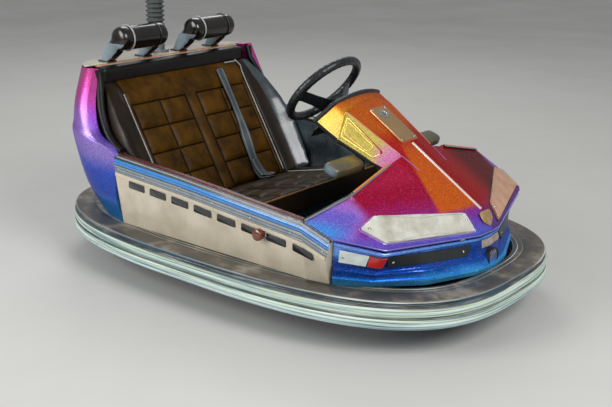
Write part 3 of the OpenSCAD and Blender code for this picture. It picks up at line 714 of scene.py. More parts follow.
def smoothed(rows: Sequence[Sequence[Point]], radius: float, steps: int = 4) -> list[list[Vector]]:
    """Rounds a sheet between its rows, along each column.

    Args:
        rows: Rows with the same number of points.
        radius: Reach of each curve.
        steps: Pieces in each curve.

    Returns:
        More rows, with the same number of points in each.
    """
    columns = [rounded(column, radius, steps) for column in zip(*rows)]
    return [list(row) for row in zip(*columns)]


def spline(path: Sequence[Point], pieces: int) -> list[Vector]:
    """Runs a smooth curve through points.

    Args:
        path: Points that the curve passes through.
        pieces: Pieces between each two of them.

    Returns:
        Points along the curve.
    """
    p = [Vector(q) for q in path]
    p = [p[0] * 2 - p[1], *p, p[-1] * 2 - p[-2]]
    out = [p[1]]
    for i in range(1, len(p) - 2):
        for k in range(1, pieces + 1):
            t = k / pieces
            a, b, c, d = p[i - 1], p[i], p[i + 1], p[i + 2]
            second, third = a * 2 - b * 5 + c * 4 - d, b * 3 - a - c * 3 + d
            out.append((b * 2 + (c - a) * t + second * t * t + third * t**3) * 0.5)
    return out


def solid(rings: Sequence[Sequence[Point]], finish: int = 0) -> Form:
    """Returns the closed solid between rings of points."""
    return Form().grid(rings, finish, ring=True, ends=True)


def sweep(
    path: Sequence[Point], section: Sequence[Flat], up: Point | Sequence[Point],
    closed: bool = False, finish: int = 0,
) -> Form:
    """Draws a section along a path, with mitred corners.

    Args:
        path: Points that the section's zero follows.
        section: Outline as (to the right, upwards), anticlockwise as seen against the path.
        up: The upward direction, one or one for each point.
        closed: True if the path joins its start.
        finish: Number of the finish.

    Returns:
        The closed solid.
    """
    pts = [Vector(p) for p in path]
    n = len(pts)
    many = not isinstance(up[0], (int, float))
    rows: list[list[Vector]] = []
    for i, p in enumerate(pts):
        ahead = pts[(i + 1) % n] - p if closed or i < n - 1 else p - pts[i - 1]
        behind = p - pts[i - 1] if closed or i > 0 else ahead
        ahead, behind = ahead.normalized(), behind.normalized()
        along = (ahead + behind).normalized()
        rise = Vector(up[i]) if many else Vector(up)
        right = along.cross(rise).normalized()
        rise = right.cross(along)
        bend = ahead - behind
        stretch = 1 / max(0.4, along.dot(ahead)) - 1
        row = []
        for a, b in section:
            offset = right * a + rise * b
            if bend.length > 1e-6:
                turn = bend.normalized()
                offset += turn * offset.dot(turn) * stretch
            row.append(p + offset)
        rows.append(row)
    if closed:
        rows.append(rows[0])
    return Form().grid(rows, finish, ring=True, ends=not closed)


def ring(radius: float, steps: int = 16, flat: float = 1.0) -> list[Flat]:
    """Returns a round section, anticlockwise; flat squeezes its height."""
    turns = [2 * math.pi * k / steps for k in range(steps)]
    return [(radius * math.cos(a), flat * radius * math.sin(a)) for a in turns]


def even(half: Sequence[Flat]) -> list[Flat]:
    """Returns a section's right half followed by its mirror image, its middle point counted once."""
    return [*half, *[(-a, b) for a, b in reversed(half) if a]]


def bar(width: float, height: float, chamfer: float = 1.0, low: float = 0.0) -> list[Flat]:
    """Returns a flat bar's section with chamfered top edges, from low up to height."""
    w = width / 2
    return even([(w, low), (w, height - chamfer), (w - chamfer, height)])


def place(origin: Point, forward: Point, normal: Point) -> Matrix:
    """Builds a placing matrix.

    Args:
        origin: Where the local zero goes.
        forward: Direction of the local X.
        normal: Direction of the local Z, before it is squared to X.

    Returns:
        A 4 by 4 matrix in millimetres.
    """
    x = Vector(forward).normalized()
    y = Vector(normal).cross(x).normalized()
    z = x.cross(y)
    m = Matrix((x, y, z)).transposed().to_4x4()
    m.translation = Vector(origin)
    return m


def prism(
    outline: Sequence[Flat], low: float, high: float, at: Matrix, finish: int = 0, crown: float = 0.0
) -> Form:
    """Raises an outline between two heights.

    Args:
        outline: Anticlockwise corners.
        low: Lower height.
        high: Upper height.
        at: Placing matrix.
        finish: Number of the finish.
        crown: How much smaller the top is, all round.

    Returns:
        The closed solid.
    """
    cx = sum(p[0] for p in outline) / len(outline)
    cy = sum(p[1] for p in outline) / len(outline)
    rows = []
    for z, shrink in ((low, 0.0), (high - crown, 0.0), (high, crown)) if crown else ((low, 0.0), (high, 0.0)):
        row = []
        for x, y in outline:
            reach = math.hypot(x - cx, y - cy) or 1.0
            k = 1 - shrink / reach
            row.append(at @ Vector((cx + (x - cx) * k, cy + (y - cy) * k, z)))
        rows.append(row)
    return solid(rows, finish)


def lathe(profile: Sequence[Flat], at: Matrix, steps: int = 48, finish: int = 0) -> Form:
    """Turns a profile round the local Z.

    Args:
        profile: (radius, height) pairs.
        at: Placing matrix.
        steps: Pieces round.
        finish: Number of the finish.

    Returns:
        The turned form, closed where its ends have no radius.
    """
    rows = [[at @ Vector((x, y, z)) for x, y in ring(max(r, 0.01), steps)] for r, z in profile]
    return Form().grid(rows, finish, ring=True)


def round_box(width: float, length: float, radius: float, steps: int = 5) -> list[Flat]:
    """Returns a rectangle's outline with round corners, centred, anticlockwise."""
    a, b = width / 2, length / 2
    path = rounded([(a, -b, 0), (a, b, 0), (-a, b, 0), (-a, -b, 0)], radius, steps, closed=True)
    return [(p.x, p.y) for p in path]


def screws(spots: Sequence[tuple[Point, Point]], diameter: float = 9.0, finish: int = 0) -> Form:
    """Makes round-headed cross-slot screws.

    Args:
        spots: Where each sits and which way its head faces.
        diameter: Of the head.
        finish: Number of the finish.

    Returns:
        All the heads.
    """
    form = Form()
    r = diameter / 2
    head = [(r, -0.4), (r, 0.6), (r * 0.86, 1.4), (r * 0.5, 2.0), (r * 0.16, 2.1), (0, 1.1)]
    across = Vector((0.31, 0.95, 0.13))
    for spot, normal in spots:
        at = place(spot, across - Vector(normal) * across.dot(Vector(normal)), normal)
        form.join(lathe(head, at, 16, finish))
    return form


def mesh_piece(name: str, form: Form, *finishes: Finish, weld: bool = False, outward: bool = True) -> Piece:
    """Makes an object from a form.

    Args:
        name: The object's name.
        form: Its points and faces.
        *finishes: The finishes by number.
        weld: True to join points that coincide.
        outward: True to turn the faces of closed solids outwards, False for an open sheet.

    Returns:
        The object, linked to the scene.
    """
    mesh = bpy.data.meshes.new(name)
    mesh.from_pydata([Vector(p) * MM for p in form.points], [], form.faces)
    for finish in finishes:
        mesh.materials.append(finish.material())
    mesh.polygons.foreach_set("material_index", form.finishes)
    if weld or outward:
        work = bmesh.new()
        work.from_mesh(mesh)
        if weld:
            bmesh.ops.remove_doubles(work, verts=work.verts, dist=0.00005)
        if outward:
            bmesh.ops.recalc_face_normals(work, faces=work.faces)
        work.to_mesh(mesh)
        work.free()
    mesh.polygons.foreach_set("use_smooth", [True] * len(mesh.polygons))
    mesh.set_sharp_from_angle(angle=math.radians(38))
    obj = bpy.data.objects.new(name, mesh)
    bpy.context.scene.collection.objects.link(obj)
    return obj


def settle(obj: Piece) -> Piece:
    """Applies the object's modifiers and returns it."""
    graph = bpy.context.evaluated_depsgraph_get()
    shape = obj.evaluated_get(graph)
    made = bpy.data.meshes.new_from_object(shape, preserve_all_data_layers=True, depsgraph=graph)
    obj.modifiers.clear()
    obj.data = made
    return obj


def work_up(
    obj: Piece, shell: float = 0.0, bevel: float = 0.0, segments: int = 3,
    angle: float = 14.0, levels: int = 0, offset: float = -1.0,
) -> Piece:
    """Gives a sheet its wall and its edges their radius.

    Args:
        obj: The object.
        shell: Wall thickness, 0 for none.
        bevel: Radius of its edges, 0 for none.
        segments: Pieces in each rounded edge.
        angle: Edges that turn by more than this, in degrees, are rounded.
        levels: Subdivisions.
        offset: -1 lays the wall inwards and 1 outwards.

    Returns:
        The object, with everything applied.
    """
    if shell:
        wall = obj.modifiers.new("wall", "SOLIDIFY")
        wall.thickness = shell * MM
        wall.offset = offset
        wall.use_even_offset = True
    if bevel:
        edge = obj.modifiers.new("edge", "BEVEL")
        edge.width = bevel * MM
        edge.segments = segments
        edge.limit_method = "ANGLE"
        edge.angle_limit = math.radians(angle)
        edge.harden_normals = False
        normals = obj.modifiers.new("even", "WEIGHTED_NORMAL")
        normals.keep_sharp = True
    if levels:
        smooth = obj.modifiers.new("smooth", "SUBSURF")
        smooth.levels = smooth.render_levels = levels
    return settle(obj)


def fit(obj: Piece, slot: str, *nodes: str, body: Body = Body.CAR) -> None:
    """Puts a finished piece on its body and reports it.

    Args:
        obj: The piece.
        slot: The record's material slot; not used.
        *nodes: Solids that it stands for.
        body: What it rides on.
    """
    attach(obj, body.value)
    if nodes:
        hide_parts(*nodes)
    LOG.info("%s on %s, %d faces", obj.name, body.value, len(obj.data.polygons))


def inflate(obj: Piece, held: Callable[[Vector], float], pressure: float, cap: float) -> None:
    """Blows a stuffed piece up with a cloth simulation, and keeps its seams where they are.

    Args:
        obj: The closed mesh.
        held: Says from 0 to 1 how firmly a point in millimetres is sewn down.
        pressure: Air pressure of the simulation.
        cap: The furthest a point may move, in millimetres.
    """
    rest = [v.co.copy() for v in obj.data.vertices]
    group = obj.vertex_groups.new(name="sewn")
    for vertex in obj.data.vertices:
        group.add([vertex.index], held(vertex.co / MM), "REPLACE")
    cloth = obj.modifiers.new("cloth", "CLOTH")
    settings = cloth.settings
    settings.vertex_group_mass = "sewn"
    settings.use_pressure = True
    settings.uniform_pressure_force = pressure
    settings.effector_weights.gravity = 0.0
    settings.quality = 5
    frames = 20
    cloth.point_cache.frame_start = 1
    cloth.point_cache.frame_end = frames
    for frame_number in range(1, frames + 1):
        bpy.context.scene.frame_set(frame_number)
    settle(obj)
    for vertex, start in zip(obj.data.vertices, rest):
        step = vertex.co - start
        if step.length > cap * MM:
            vertex.co = start + step.normalized() * cap * MM
    bpy.context.scene.frame_set(1)


# Sub-assemblies


@dataclass
class Bumper:
    """The air-filled rubber ring round the car."""

    half_length: float = 1000.0
    half_width: float = 620.0
    power: float = 2.9
    top: float = 212.0
    steps: int = 300
    section: tuple[Flat, ...] = (
        (118, 106), (118, 209), (116, 211), (112, 212), (104, 212), (102.5, 210.6), (101, 212),
        (86, 212), (84.5, 210.8), (83, 212), (30, 212), (18, 211.6), (12, 210.6), (8.5, 208.6),
        (7, 205.5), (8.5, 202), (12.5, 197), (14, 194), (13.2, 191.4), (8, 189.2), (3.4, 186), (2, 182),
        (2.4, 177.5), (3.6, 175.6), (2.4, 173.6), (1.6, 169), (2.4, 164.6), (3.6, 162.8), (2.6, 160.8),
        (4.2, 157.6), (9.5, 155.4), (10, 152.6), (8, 150.4), (2.4, 148.4), (0.6, 145), (0, 139),
        (1.4, 136.8), (0.2, 134.6), (0.2, 126.6), (1.6, 124.8), (0.8, 122.6), (3, 116.6), (9, 111.4),
        (20, 106.4), (34, 104), (100, 104),
    )

    def outline(self, inset: float) -> list[Flat]:
        """Returns the plan curve at an inset, in even steps of length."""
        turn = np.linspace(0, 2 * np.pi, 6001)
        c, s = np.cos(turn), np.sin(turn)
        x = (self.half_length - inset) * np.sign(c) * np.abs(c) ** (2 / self.power)
        y = (self.half_width - inset) * np.sign(s) * np.abs(s) ** (2 / self.power)
        run = np.concatenate([[0], np.cumsum(np.hypot(np.diff(x), np.diff(y)))])
        at = np.linspace(0, run[-1], self.steps + 1)[:-1]
        return list(zip(np.interp(at, run, x), np.interp(at, run, y)))

    def build(self) -> None:
        """Makes the ring and dresses it."""
        columns = [[(x, y, z) for x, y in self.outline(inset)] for inset, z in self.section]
        columns.append(columns[0])
        obj = mesh_piece("bumper_ring", Form().grid(columns, ring=True), BUMPER_RUBBER, weld=True)
        fit(obj, "bumper_rubber", "bumper")


@dataclass
class Nose:
    """The bonnet with its collar, lamps, plate and badge, and the lower nose."""

    hood: float = 732.0
    drop: float = 0.644
    sill: float = SILL_Y
    skirt: float = SKIRT
    shell: float = 6.0
    ledge: float = 12.0
    lip: float = 7.0
    column_tilt: float = COLUMN_TILT
    wheel: Point = WHEEL_CENTRE
    dash_off: float = 126.0
    band_rows: tuple[Flat, ...] = ((0.0, 0), (0.52, -2))
    eye_m: Point = (2.4, 2.9, 1.45)
    points: dict[str, Vector] = field(default_factory=dict)

    def __post_init__(self) -> None:
        """Names the corners of the left half."""
        top = self.top
        named = {
            "seam_c": (340, 0, self.hood), "seam_p": (340, 52, self.hood),
            "seam_k": (340, 131, self.hood - 21), "mid_c": (563, 0, top(563)), "mid_p": (563, 40, top(563)),
            "mid_k": (563, 99, top(563) - 10), "fore_c": (638, 0, top(638)), "fore_p": (638, 34, top(638)),
            "fore_k": (638, 88, top(638) - 7), "console_a": (340, 178, 609), "console_b": (472, 178, 561),
            "console_c": (545, 178, 540), "corner_1": (563, 179, 561), "corner_2": (573, 410, 505),
            "corner_3": (470, 524, 426), "belt_s": (600, self.sill, 388), "lamp_a": (648, 480, 424),
            "lamp_b": (645, 400, 457), "lamp_c": (817, 76, 421), "lamp_d": (868, 66, 350),
            "lamp_e": (746, 455, 378), "belt_k": (748, 455, 364), "tip_c": (847, 0, top(847)),
            "chin_c": (872, 0, 362), "belt_c": (880, 0, 342), "belt_d": (871, 66, 340),
        }
        self.points = {name: Vector(p) for name, p in named.items()}

    def top(self, x: float) -> float:
        """Returns the height of the ridge's middle line at x."""
        return self.hood - (x - 340) * self.drop

    def p(self, name: str, side: int = 1) -> Vector:
        """Returns a named corner on one side."""
        q = self.points[name].copy()
        q.y *= side
        return q

    def lower(self, u: float, t: float, out: float) -> Vector:
        """Returns a point of the lower nose's left half.

        Args:
            u: Counts the belt's corners from the sill.
            t: Share of the way down to the skirt.
            out: Step outwards.

        Returns:
            The point.
        """
        p = self.p
        belt = [p("belt_s"), p("belt_k"), mix(p("belt_k"), p("belt_d"), 0.5), p("belt_d"), p("belt_c")]
        foot = [(560, 492), (662, 428), (800, 289), (880, 105), (897, 0)]
        i = min(int(u), 3)
        high = mix(belt[i], belt[i + 1], u - i)
        inward = 1 - self.ledge / math.hypot(high.x, high.y)
        high = Vector((high.x * inward, high.y * inward, high.z - self.shell - self.lip))
        low = mix((*foot[i], self.skirt), (*foot[i + 1], self.skirt), u - i)
        q = mix(high, low, t)
        outward = 1 + out / math.hypot(q.x, q.y)
        return Vector((q.x * outward, q.y * outward, q.z))

    def band(self, u: float, v: float, lift: float = 0.0, side: int = 1) -> Vector:
        """Returns a point of the lamp band: v runs down it, u past 4 goes on to the other side."""
        if u > 4:
            return self.band(8 - u, v, lift, -side)
        (t0, o0), (t1, o1) = self.band_rows
        q = self.lower(u, t0 + (t1 - t0) * v, o0 + (o1 - o0) * v + lift)
        q.y *= side
        return q

    def console(self, x: float, z: float, side: int) -> Vector:
        """Returns a point near the console's side at x and z."""
        return Vector((x, side * (131 - 0.0947 * (x - 340) - 0.4608 * (z - 711)), z))

    def lamp(self, u: float, v: float) -> Vector:
        """Returns a point of the surface that the left headlamp's cover lies on."""
        p = self.p
        return mix(mix(p("lamp_b"), p("lamp_c"), u), mix(p("lamp_e"), p("lamp_d"), u), v)

    def slope(self, x: float, y: float, lift: float) -> Vector:
        """Returns a point over the ridge's flat top."""
        normal = Vector((self.drop, 0, 1)).normalized()
        return Vector((x, y, self.top(x))) + normal * lift

    def bonnet(self) -> None:
        """Makes the faceted bonnet with the frame pressed into each console side."""
        names = (
            "seam_c seam_p seam_k console_a console_b console_c mid_c mid_p mid_k corner_1 corner_2 corner_3 "
            "belt_s lamp_a lamp_b lamp_c lamp_d lamp_e belt_k tip_c chin_c belt_c belt_d fore_c fore_p fore_k"
        ).split()
        points = [self.p(n) for n in names]
        for a, b in (("lamp_b", "lamp_c"), ("lamp_e", "lamp_d")):
            points += [mix(self.p(a), self.p(b), k / 3) for k in (1, 2)]
        faces = [
            (0, 6, 7, 1), (1, 7, 8, 2), (6, 23, 24, 7), (7, 24, 25, 8), (23, 19, 15, 24), (24, 15, 25),
            (2, 8, 9, 5, 4, 3), (9, 8, 25, 15, 27, 26, 14, 10), (10, 13, 12, 11), (10, 14, 13), (13, 14, 17),
            (14, 26, 28, 17), (26, 27, 29, 28), (27, 15, 16, 29), (12, 13, 17, 18), (17, 28, 29, 16, 22, 18),
            (15, 19, 20, 16), (16, 20, 21, 22),
        ]
        form = Form().take(points, faces).both()
        shell = mesh_piece("bonnet_shell", form, NOSE_PAINT, weld=True, outward=False)
        fit(work_up(shell, self.shell, 7, 4, 7), "glitter_paint", "bonnet")
        skin = BVHTree.FromObject(shell, bpy.context.evaluated_depsgraph_get())
        frames = Form()
        # The corners lie near the console's side; rays from outside lay the frames on its skin
        for side in SIDES:
            eye = Vector((self.eye_m[0], self.eye_m[1] * side, self.eye_m[2]))
            for corners, width, high in (
                (((351, 693), (524, 598), (496, 577), (345, 630)), 8, 1.6),
                (((357, 680), (484, 612), (468, 592), (353, 641)), 5, 1.2),
            ):
                path = rounded([self.console(x, z, side) for x, z in corners], 9, 5, closed=True)
                path = [mix(a, b, t) for a, b in zip(path, [*path[1:], path[0]]) for t in (0.0, 0.34, 0.67)]
                hits = [skin.ray_cast(eye, q * MM - eye) for q in path]
                w = width / 2
                section = even([(w, -1), (w, 0), (w * 0.6, high * 0.7), (0, high)])
                places, normals = [hit[0] / MM for hit in hits], [hit[1] for hit in hits]
                frames.join(sweep(places, section, normals, closed=True))
        fit(mesh_piece("console_frames", frames, NOSE_PAINT), "glitter_paint")
        # Thin raised beads on the ridge's edge, along the crease and along the belt: painted highlights
        highlight_lines = Form()
        for side in SIDES:
            up = (0.3, side * 0.7, 0.8)
            raised = Vector((0, side * 0.6, 0.2))
            p = [self.p(n, side) for n in ("seam_k", "mid_k", "fore_k")]
            ridge = [mix(p[0], p[1], t) + raised for t in np.linspace(0.03, 0.96, 12)]
            highlight_lines.join(sweep(ridge, bar(3.2, 1.2, 0.5, -2), up))
            crease = [mix(p[1], p[2], t) + raised for t in np.linspace(0, 0.9, 6)]
            highlight_lines.join(sweep(crease, bar(2.4, 1.0, 0.4, -2), up, finish=1))
            corners = [self.p(n, side) for n in ("belt_s", "belt_k", "belt_d", "belt_c")]
            low = [q + Vector((1, side * 1.5, 5)) for q in corners]
            line = [mix(a, b, t) for a, b in zip(low, low[1:]) for t in (0.02, 0.5, 0.98)]
            highlight_lines.join(sweep(line, bar(3.0, 1.2, 0.5, -2), (0.7, side * 0.5, 0.4), finish=1))
        fit(mesh_piece("painted_edge_highlights", highlight_lines, RIDGE_HIGHLIGHT, LILAC_HIGHLIGHT), "glitter_paint")

    def collar(self) -> None:
        """Makes the collar with its rubber edge, and the dash panel inside it."""
        tilt = math.radians(self.column_tilt)
        axis = Vector((-math.sin(tilt), 0, math.cos(tilt)))
        dash = Vector(self.wheel) - axis * self.dash_off

        def end_x(z: float) -> float:
            """Returns where the dash panel's plane is at a height."""
            return dash.x + (z - dash.z) * math.cos(tilt) / math.sin(tilt)

        p = self.p
        front = [
            p("console_a"),
            mix(p("seam_k"), p("console_a"), 0.12) + Vector((0, 5, 0)),
            p("seam_k") + Vector((0, 0, 1)),
            mix(p("seam_c"), p("seam_k"), 0.55) + Vector((0, 0, 6)),
            p("seam_c") + Vector((0, 0, 2)),
        ]
        full = whole([q - Vector((3, 0, 0)) for q in front])
        rise = [58.0, 27.0, 27.0, 27.0, 27.0]
        rises = rise + rise[-2::-1]
        rim = [Vector((end_x(q.z + r), q.y, q.z + r)) for q, r in zip(full, rises)]
        reach = [0, 10, 16, 30, 60, 30, 16, 10, 0]
        front_line = rounded(full, reach, 5)
        rim_line = rounded(rim, reach, 5)
        rows = []
        for t in np.linspace(1, 0, 7):
            swell = Vector((0, 0, 3.0 * math.sin(math.pi * t)))
            rows.append([mix(a, b, t) + swell for a, b in zip(front_line, rim_line)])
        sheet = mesh_piece("collar_shell", Form().grid(rows), COLLAR_PAINT, outward=False)
        fit(work_up(sheet, self.shell + 2, 2.5, 3, 30), "glitter_paint", "dash_collar")
        section = [(7, -7), (7, 5), (3, 8), (-5, 8), (-8, 5), (-8, -7)]
        edge = sweep(rim_line, section, [Vector((0, q.y * 0.6, 200)) for q in rim_line])
        fit(mesh_piece("collar_edge", edge, RUBBER_EDGE), "black_plastic")
        seam = sweep(front_line, bar(6, 2.4, 1.0, -2), [Vector((0, q.y * 0.9, 120)) for q in front_line])
        fit(mesh_piece("collar_seam", seam, COLLAR_PAINT), "glitter_paint")
        seals = Form()
        for side in SIDES:
            line = [p(n, side) for n in ("console_a", "console_b", "console_c", "corner_1")]
            line = [rim_line[0] if side == 1 else rim_line[-1], *line]
            seals.join(sweep(line, even([(5, -6), (5, 2)]), (0, side * 0.9, -0.4)))
        fit(mesh_piece("console_seals", seals, RUBBER_EDGE), "black_plastic")
        at = place(dash + axis * -12, (math.cos(tilt), 0, math.sin(tilt)), axis)
        half = [(-72, -150), (-30, -160), (38, -122), (58, -70), (66, 0)]
        panel = prism([*half, *[(x, -y) for x, y in reversed(half[:-1])]], -6, 0, at)
        panel.join(lathe([(50, -4), (50, 10), (44, 16), (30, 20), (15, 20), (15, -4)], at, 40))
        obj = work_up(mesh_piece("dash_plate", panel, BLACK_ABS), 0, 1.5, 2, 30)
        fit(obj, "black_plastic", "dash_panel")

    def ridge_trim(self) -> None:
        """Makes the coin plate, the bright strip and the bare badge."""
        down = Vector((1, 0, -self.drop)).normalized()
        normal = Vector((self.drop, 0, 1)).normalized()
        run = math.hypot(1, self.drop)
        middle = 378 + 89 / run
        at = place(self.slope(middle, 0, 0), down, normal)
        surround = prism(round_box(186, 106, 12), 0.3, 1.6, at, 0)
        fit(mesh_piece("coin_plate_seat", surround, PLATE_SEAT), "glitter_paint")
        plate = prism(round_box(178, 98, 9), 1.6, 5.2, at, 0, crown=1.0)
        fit(mesh_piece("coin_plate_cover", plate, ANODISED), "bright_plate", "coin_plate")
        slot_at = place(self.slope(middle, 0, 0) + down * -52, down, normal)
        slot = lathe([(20, 5.0), (20, 7.4), (18, 8.2), (14.4, 8.2), (13.6, 6.6), (0, 6.4)], slot_at, 40)
        # The black bar on the slot's disc stands for its opening: painted shade
        slot.join(prism(round_box(17, 3.2, 1.4), 6.4, 6.9, slot_at, 1))
        fit(mesh_piece("coin_slot", slot, CHROME, GLASS_BLACK), "bright_plate")
        corners = [down * a + Vector((0, b, 0)) for a in (-80, 80) for b in (-40, 40)]
        spots = [(self.slope(middle, 0, 5.2) + corner, normal) for corner in corners]
        fit(mesh_piece("plate_screws", screws(spots, 8), CHROME), "chrome_trim")
        section = even([(5, 0), (5, 2.2), (3.6, 4.2), (0, 5.2)])
        path = [self.slope(x, 0, 0.4) for x in np.linspace(540, 832, 8)]
        obj = mesh_piece("ridge_strip", sweep(path, section, normal), SATIN_STRIP)
        fit(obj, "chrome_trim", "bonnet_strip")
        tip, chin = self.p("tip_c"), self.p("chin_c")
        fall = (chin - tip).normalized()
        face = Vector((-fall.z, 0, fall.x))
        shield_at = place(tip + fall * 21, fall, face)
        half = [(-28, -25), (-25, -33), (-8, -34), (7, -29), (18, -17), (25, -5), (27, 0)]
        outline = whole([(x, y, 0) for x, y in half])
        smooth = [(q.x, q.y) for q in rounded(outline, 3, 3, closed=True)]
        shield = prism(smooth, 0.4, 4.2, shield_at, 0, crown=1.6)
        rim = [shield_at @ Vector((x * 0.9, y * 0.88, 4.2)) for x, y in smooth]
        shield.join(sweep(rim, ring(1.2, 8), face, closed=True))
        fit(mesh_piece("nose_shield", shield, CAST_BRASS), "badge_metal", "nose_badge")

    def headlamps(self) -> None:
        """Makes the two long opal covers, their seals and their screws."""
        across = [0.1, 0.2, 0.35, 0.5, 0.65, 0.8, 0.9]
        for side, name in ((1, "left"), (-1, "right")):
            # The right lamp's seal wears the lilac painted highlight; the left lamp's seal is black rubber
            tone, lip = (OPAL_WARM, RUBBER_EDGE) if side == 1 else (OPAL, LILAC_HIGHLIGHT)
            normal = (self.lamp(0, 1) - self.lamp(0, 0)).cross(self.lamp(0, 0) - self.lamp(1, 0)).normalized()
            normal = Vector((normal.x, normal.y, abs(normal.z)))
            rear = mix(self.p("lamp_a"), self.lamp(0, 0.5), 0.16)
            rows = [[self.lamp(0.02 + 0.945 * k / 24, v) for v in across] for k in range(25)]
            tips = [[mix(rear, q, t) for q in rows[0]] for t in (0.08, 0.4, 0.75)]
            sections = []
            for row, pull in zip(tips + rows, [0.0] * 27 + [0.04]):
                centre = (row[0] + row[-1]) / 2
                row = [mix(q, centre, pull) for q in row]
                top = [q + normal * (9.0 - 2.6 * abs(2 * v - 1) ** 2.5) for q, v in zip(row, across)]
                sections.append([*[q + normal * 0.3 for q in row], *reversed(top)])
            form = solid(sections)
            obj = mesh_piece("headlamp_cover_" + name, form if side == 1 else form.mirrored(), tone)
            work_up(obj, 0, 4.4, 5, 40)
            fit(obj, "lamp_cover", "headlamp_" + name)
            outline = [rear, *[r[0] for r in rows[::4]], *[r[-1] for r in reversed(rows[::4])]]
            middle = sum(outline, Vector()) / len(outline)
            normal = Vector((normal.x, normal.y * side, normal.z))
            outer = [middle + (q - middle) * (1 + 5 / (q - middle).length) for q in outline]
            outer = [Vector((q.x, q.y * side, q.z)) for q in outer]
            seal = sweep(rounded(outer, 8, 4, closed=True), ring(1.9, 8), normal, closed=True)
            fit(mesh_piece("headlamp_seal_" + name, seal, lip), "black_plastic")
            inset = [middle + (q - middle) * (1 - 13 / (q - middle).length) for q in outline]
            inset = [Vector((q.x, q.y * side, q.z)) + normal * 9.2 for q in inset]
            step = sweep(rounded(inset, 6, 4, closed=True), ring(2.6, 10, 0.5), normal, closed=True)
            fit(mesh_piece("headlamp_step_" + name, step, tone), "lamp_cover")
            spots = []
            for q in (mix(rear, self.lamp(0.0, 0.5), 0.5), self.lamp(0.93, 0.42)):
                spots.append((Vector((q.x, q.y * side, q.z)) + normal * 8.8, normal))
            fit(mesh_piece("headlamp_screws_" + name, screws(spots, 10), CHROME), "chrome_trim")

    def lower_nose(self) -> None:
        """Makes the lower nose, its lamps, grilles, fog lamp and silver sheet."""
        us = [k / 6 for k in range(25)]
        steps = [
            (0.0, 0), (0.26, -1), (0.52, -2), (0.545, 0.5), (0.575, 7), (0.60, 9), (0.69, 7.6), (0.775, 6),
            (0.785, 8.5), (0.80, 12), (0.86, 11), (1.0, 0),
        ]
        form = Form().grid([[self.lower(u, t, out) for u in us] for t, out in steps]).both()
        shell = mesh_piece("lower_nose_shell", form, LOWER_PAINT, weld=True, outward=False)
        fit(work_up(shell, self.shell, 1.6, 2, 26), "blue_paint", "nose_lower")
        # A round bead under the ledge closes the gap to the lower shell; the pale blue it wears there is
        # partly painted highlight
        path = whole([self.lower(u, 0.0, 2.5) + Vector((0, 0, -1)) for u in us])
        bead = sweep(path, ring(7.0, 12), (0, 0, 1))
        fit(mesh_piece("ledge_bead", bead, LOWER_PAINT), "blue_paint")
        lamps = Form()
        grilles = Form()
        spots = []
        for side in SIDES:
            for form, finish, start, end, slant, lift in (
                (lamps, 0, 0.12, 0.735, 0.0, 7.4),
                (lamps, 1, 0.75, 1.10, 0.05, 7.4),
                (grilles, 0, 1.14, 2.85, 0.10, 5.0),
            ):
                form.join(self.pad(start, end, slant, lift, side, finish))
            for u, lift in ((1.26, 5.0), (2.70, 5.0), (0.2, 7.4)):
                q = self.band(u, 0.52, lift, side)
                spots.append((q, Vector((q.x, q.y, 0)).normalized()))
        obj = work_up(mesh_piece("marker_lenses", lamps, WHITE_LENS, RED_LENS), 0, 2.2, 3, 40)
        fit(obj, "red_cover", "marker_lamps")
        obj = work_up(mesh_piece("grille_plates", grilles, BLACK_ABS), 0, 1.6, 2, 40)
        fit(obj, "black_plastic", "nose_grilles")
        fit(mesh_piece("band_screws", screws(spots, 10), CHROME), "chrome_trim")
        rows = [[self.band(u, v, 1.0, -1) for u in np.linspace(3.42, 5.2, 16)] for v in (0.02, 0.3, 0.6)]
        sheet = mesh_piece("silver_sheet", Form().grid(rows), DULL_SHEET, outward=False)
        fit(work_up(sheet, 1.4, 0.5, 2, 40, offset=1.0), "bright_plate")
        at = place((866, 0, 254), (0, 1, 0), (1, 0, 0))
        fog = lathe([(34.8, 0), (34.8, 27), (33, 29), (29.5, 29), (28, 25), (22, 12), (8, 5), (0, 5)], at)
        fog.join(lathe([(27, 22), (20, 12.2), (7, 6), (0, 6)], at, 40, 1))
        fog.join(lathe([(28.5, 24.5), (27, 26.5), (16, 28.6), (0, 29.2)], at, 40, 2))
        obj = mesh_piece("fog_lamp_unit", fog, BLACK_ABS, CHROME, CLEAR_GLASS, outward=False)
        fit(obj, "black_plastic", "fog_lamp")

    def pad(self, start: float, end: float, slant: float, lift: float, side: int, finish: int) -> Form:
        """Makes a flat lens or plate that lies on the lamp band.

        Args:
            start: First u.
            end: Last u.
            slant: How far the end leans back towards the bottom.
            lift: Height over the band.
            side: 1 for left, -1 for right.
            finish: Number of the finish.

        Returns:
            The closed solid.
        """
        steps = max(4, int((end - start) * 12))
        sections = []
        for k in range(steps + 1):
            share = k / steps
            row = []
            for v, level in ((0.22, 0.4), (0.80, 0.4), (0.80, lift), (0.22, lift)):
                u = start + (end - start) * share + slant * (v - 0.5) * (1 - 2 * share)
                row.append(self.band(u, v, level, side))
            sections.append(row)
        return solid(sections, finish)

    def cockpit_trim(self) -> None:
        """Makes the chrome and the seals along the cockpit's front edges."""
        bright = Form()
        for side in SIDES:
            p1, p2, p3 = self.p("corner_1", side), self.p("corner_2", side), self.p("corner_3", side)
            path = rounded([p1 + Vector((2, -3 * side, 1)), p2, p3], 14, 5)
            bright.join(sweep(path, even([(6, 0), (6, 3.5), (3.4, 6.2)]), (-0.25, 0.1 * side, 1)))
            seal = [q + Vector((-8, -3 * side if q.x > 560 else -4 * side, -2)) for q in path]
            bright.join(sweep(seal, even([(4, -8), (4, 4), (1.5, 6)]), (-0.25, 0, 1), finish=1))
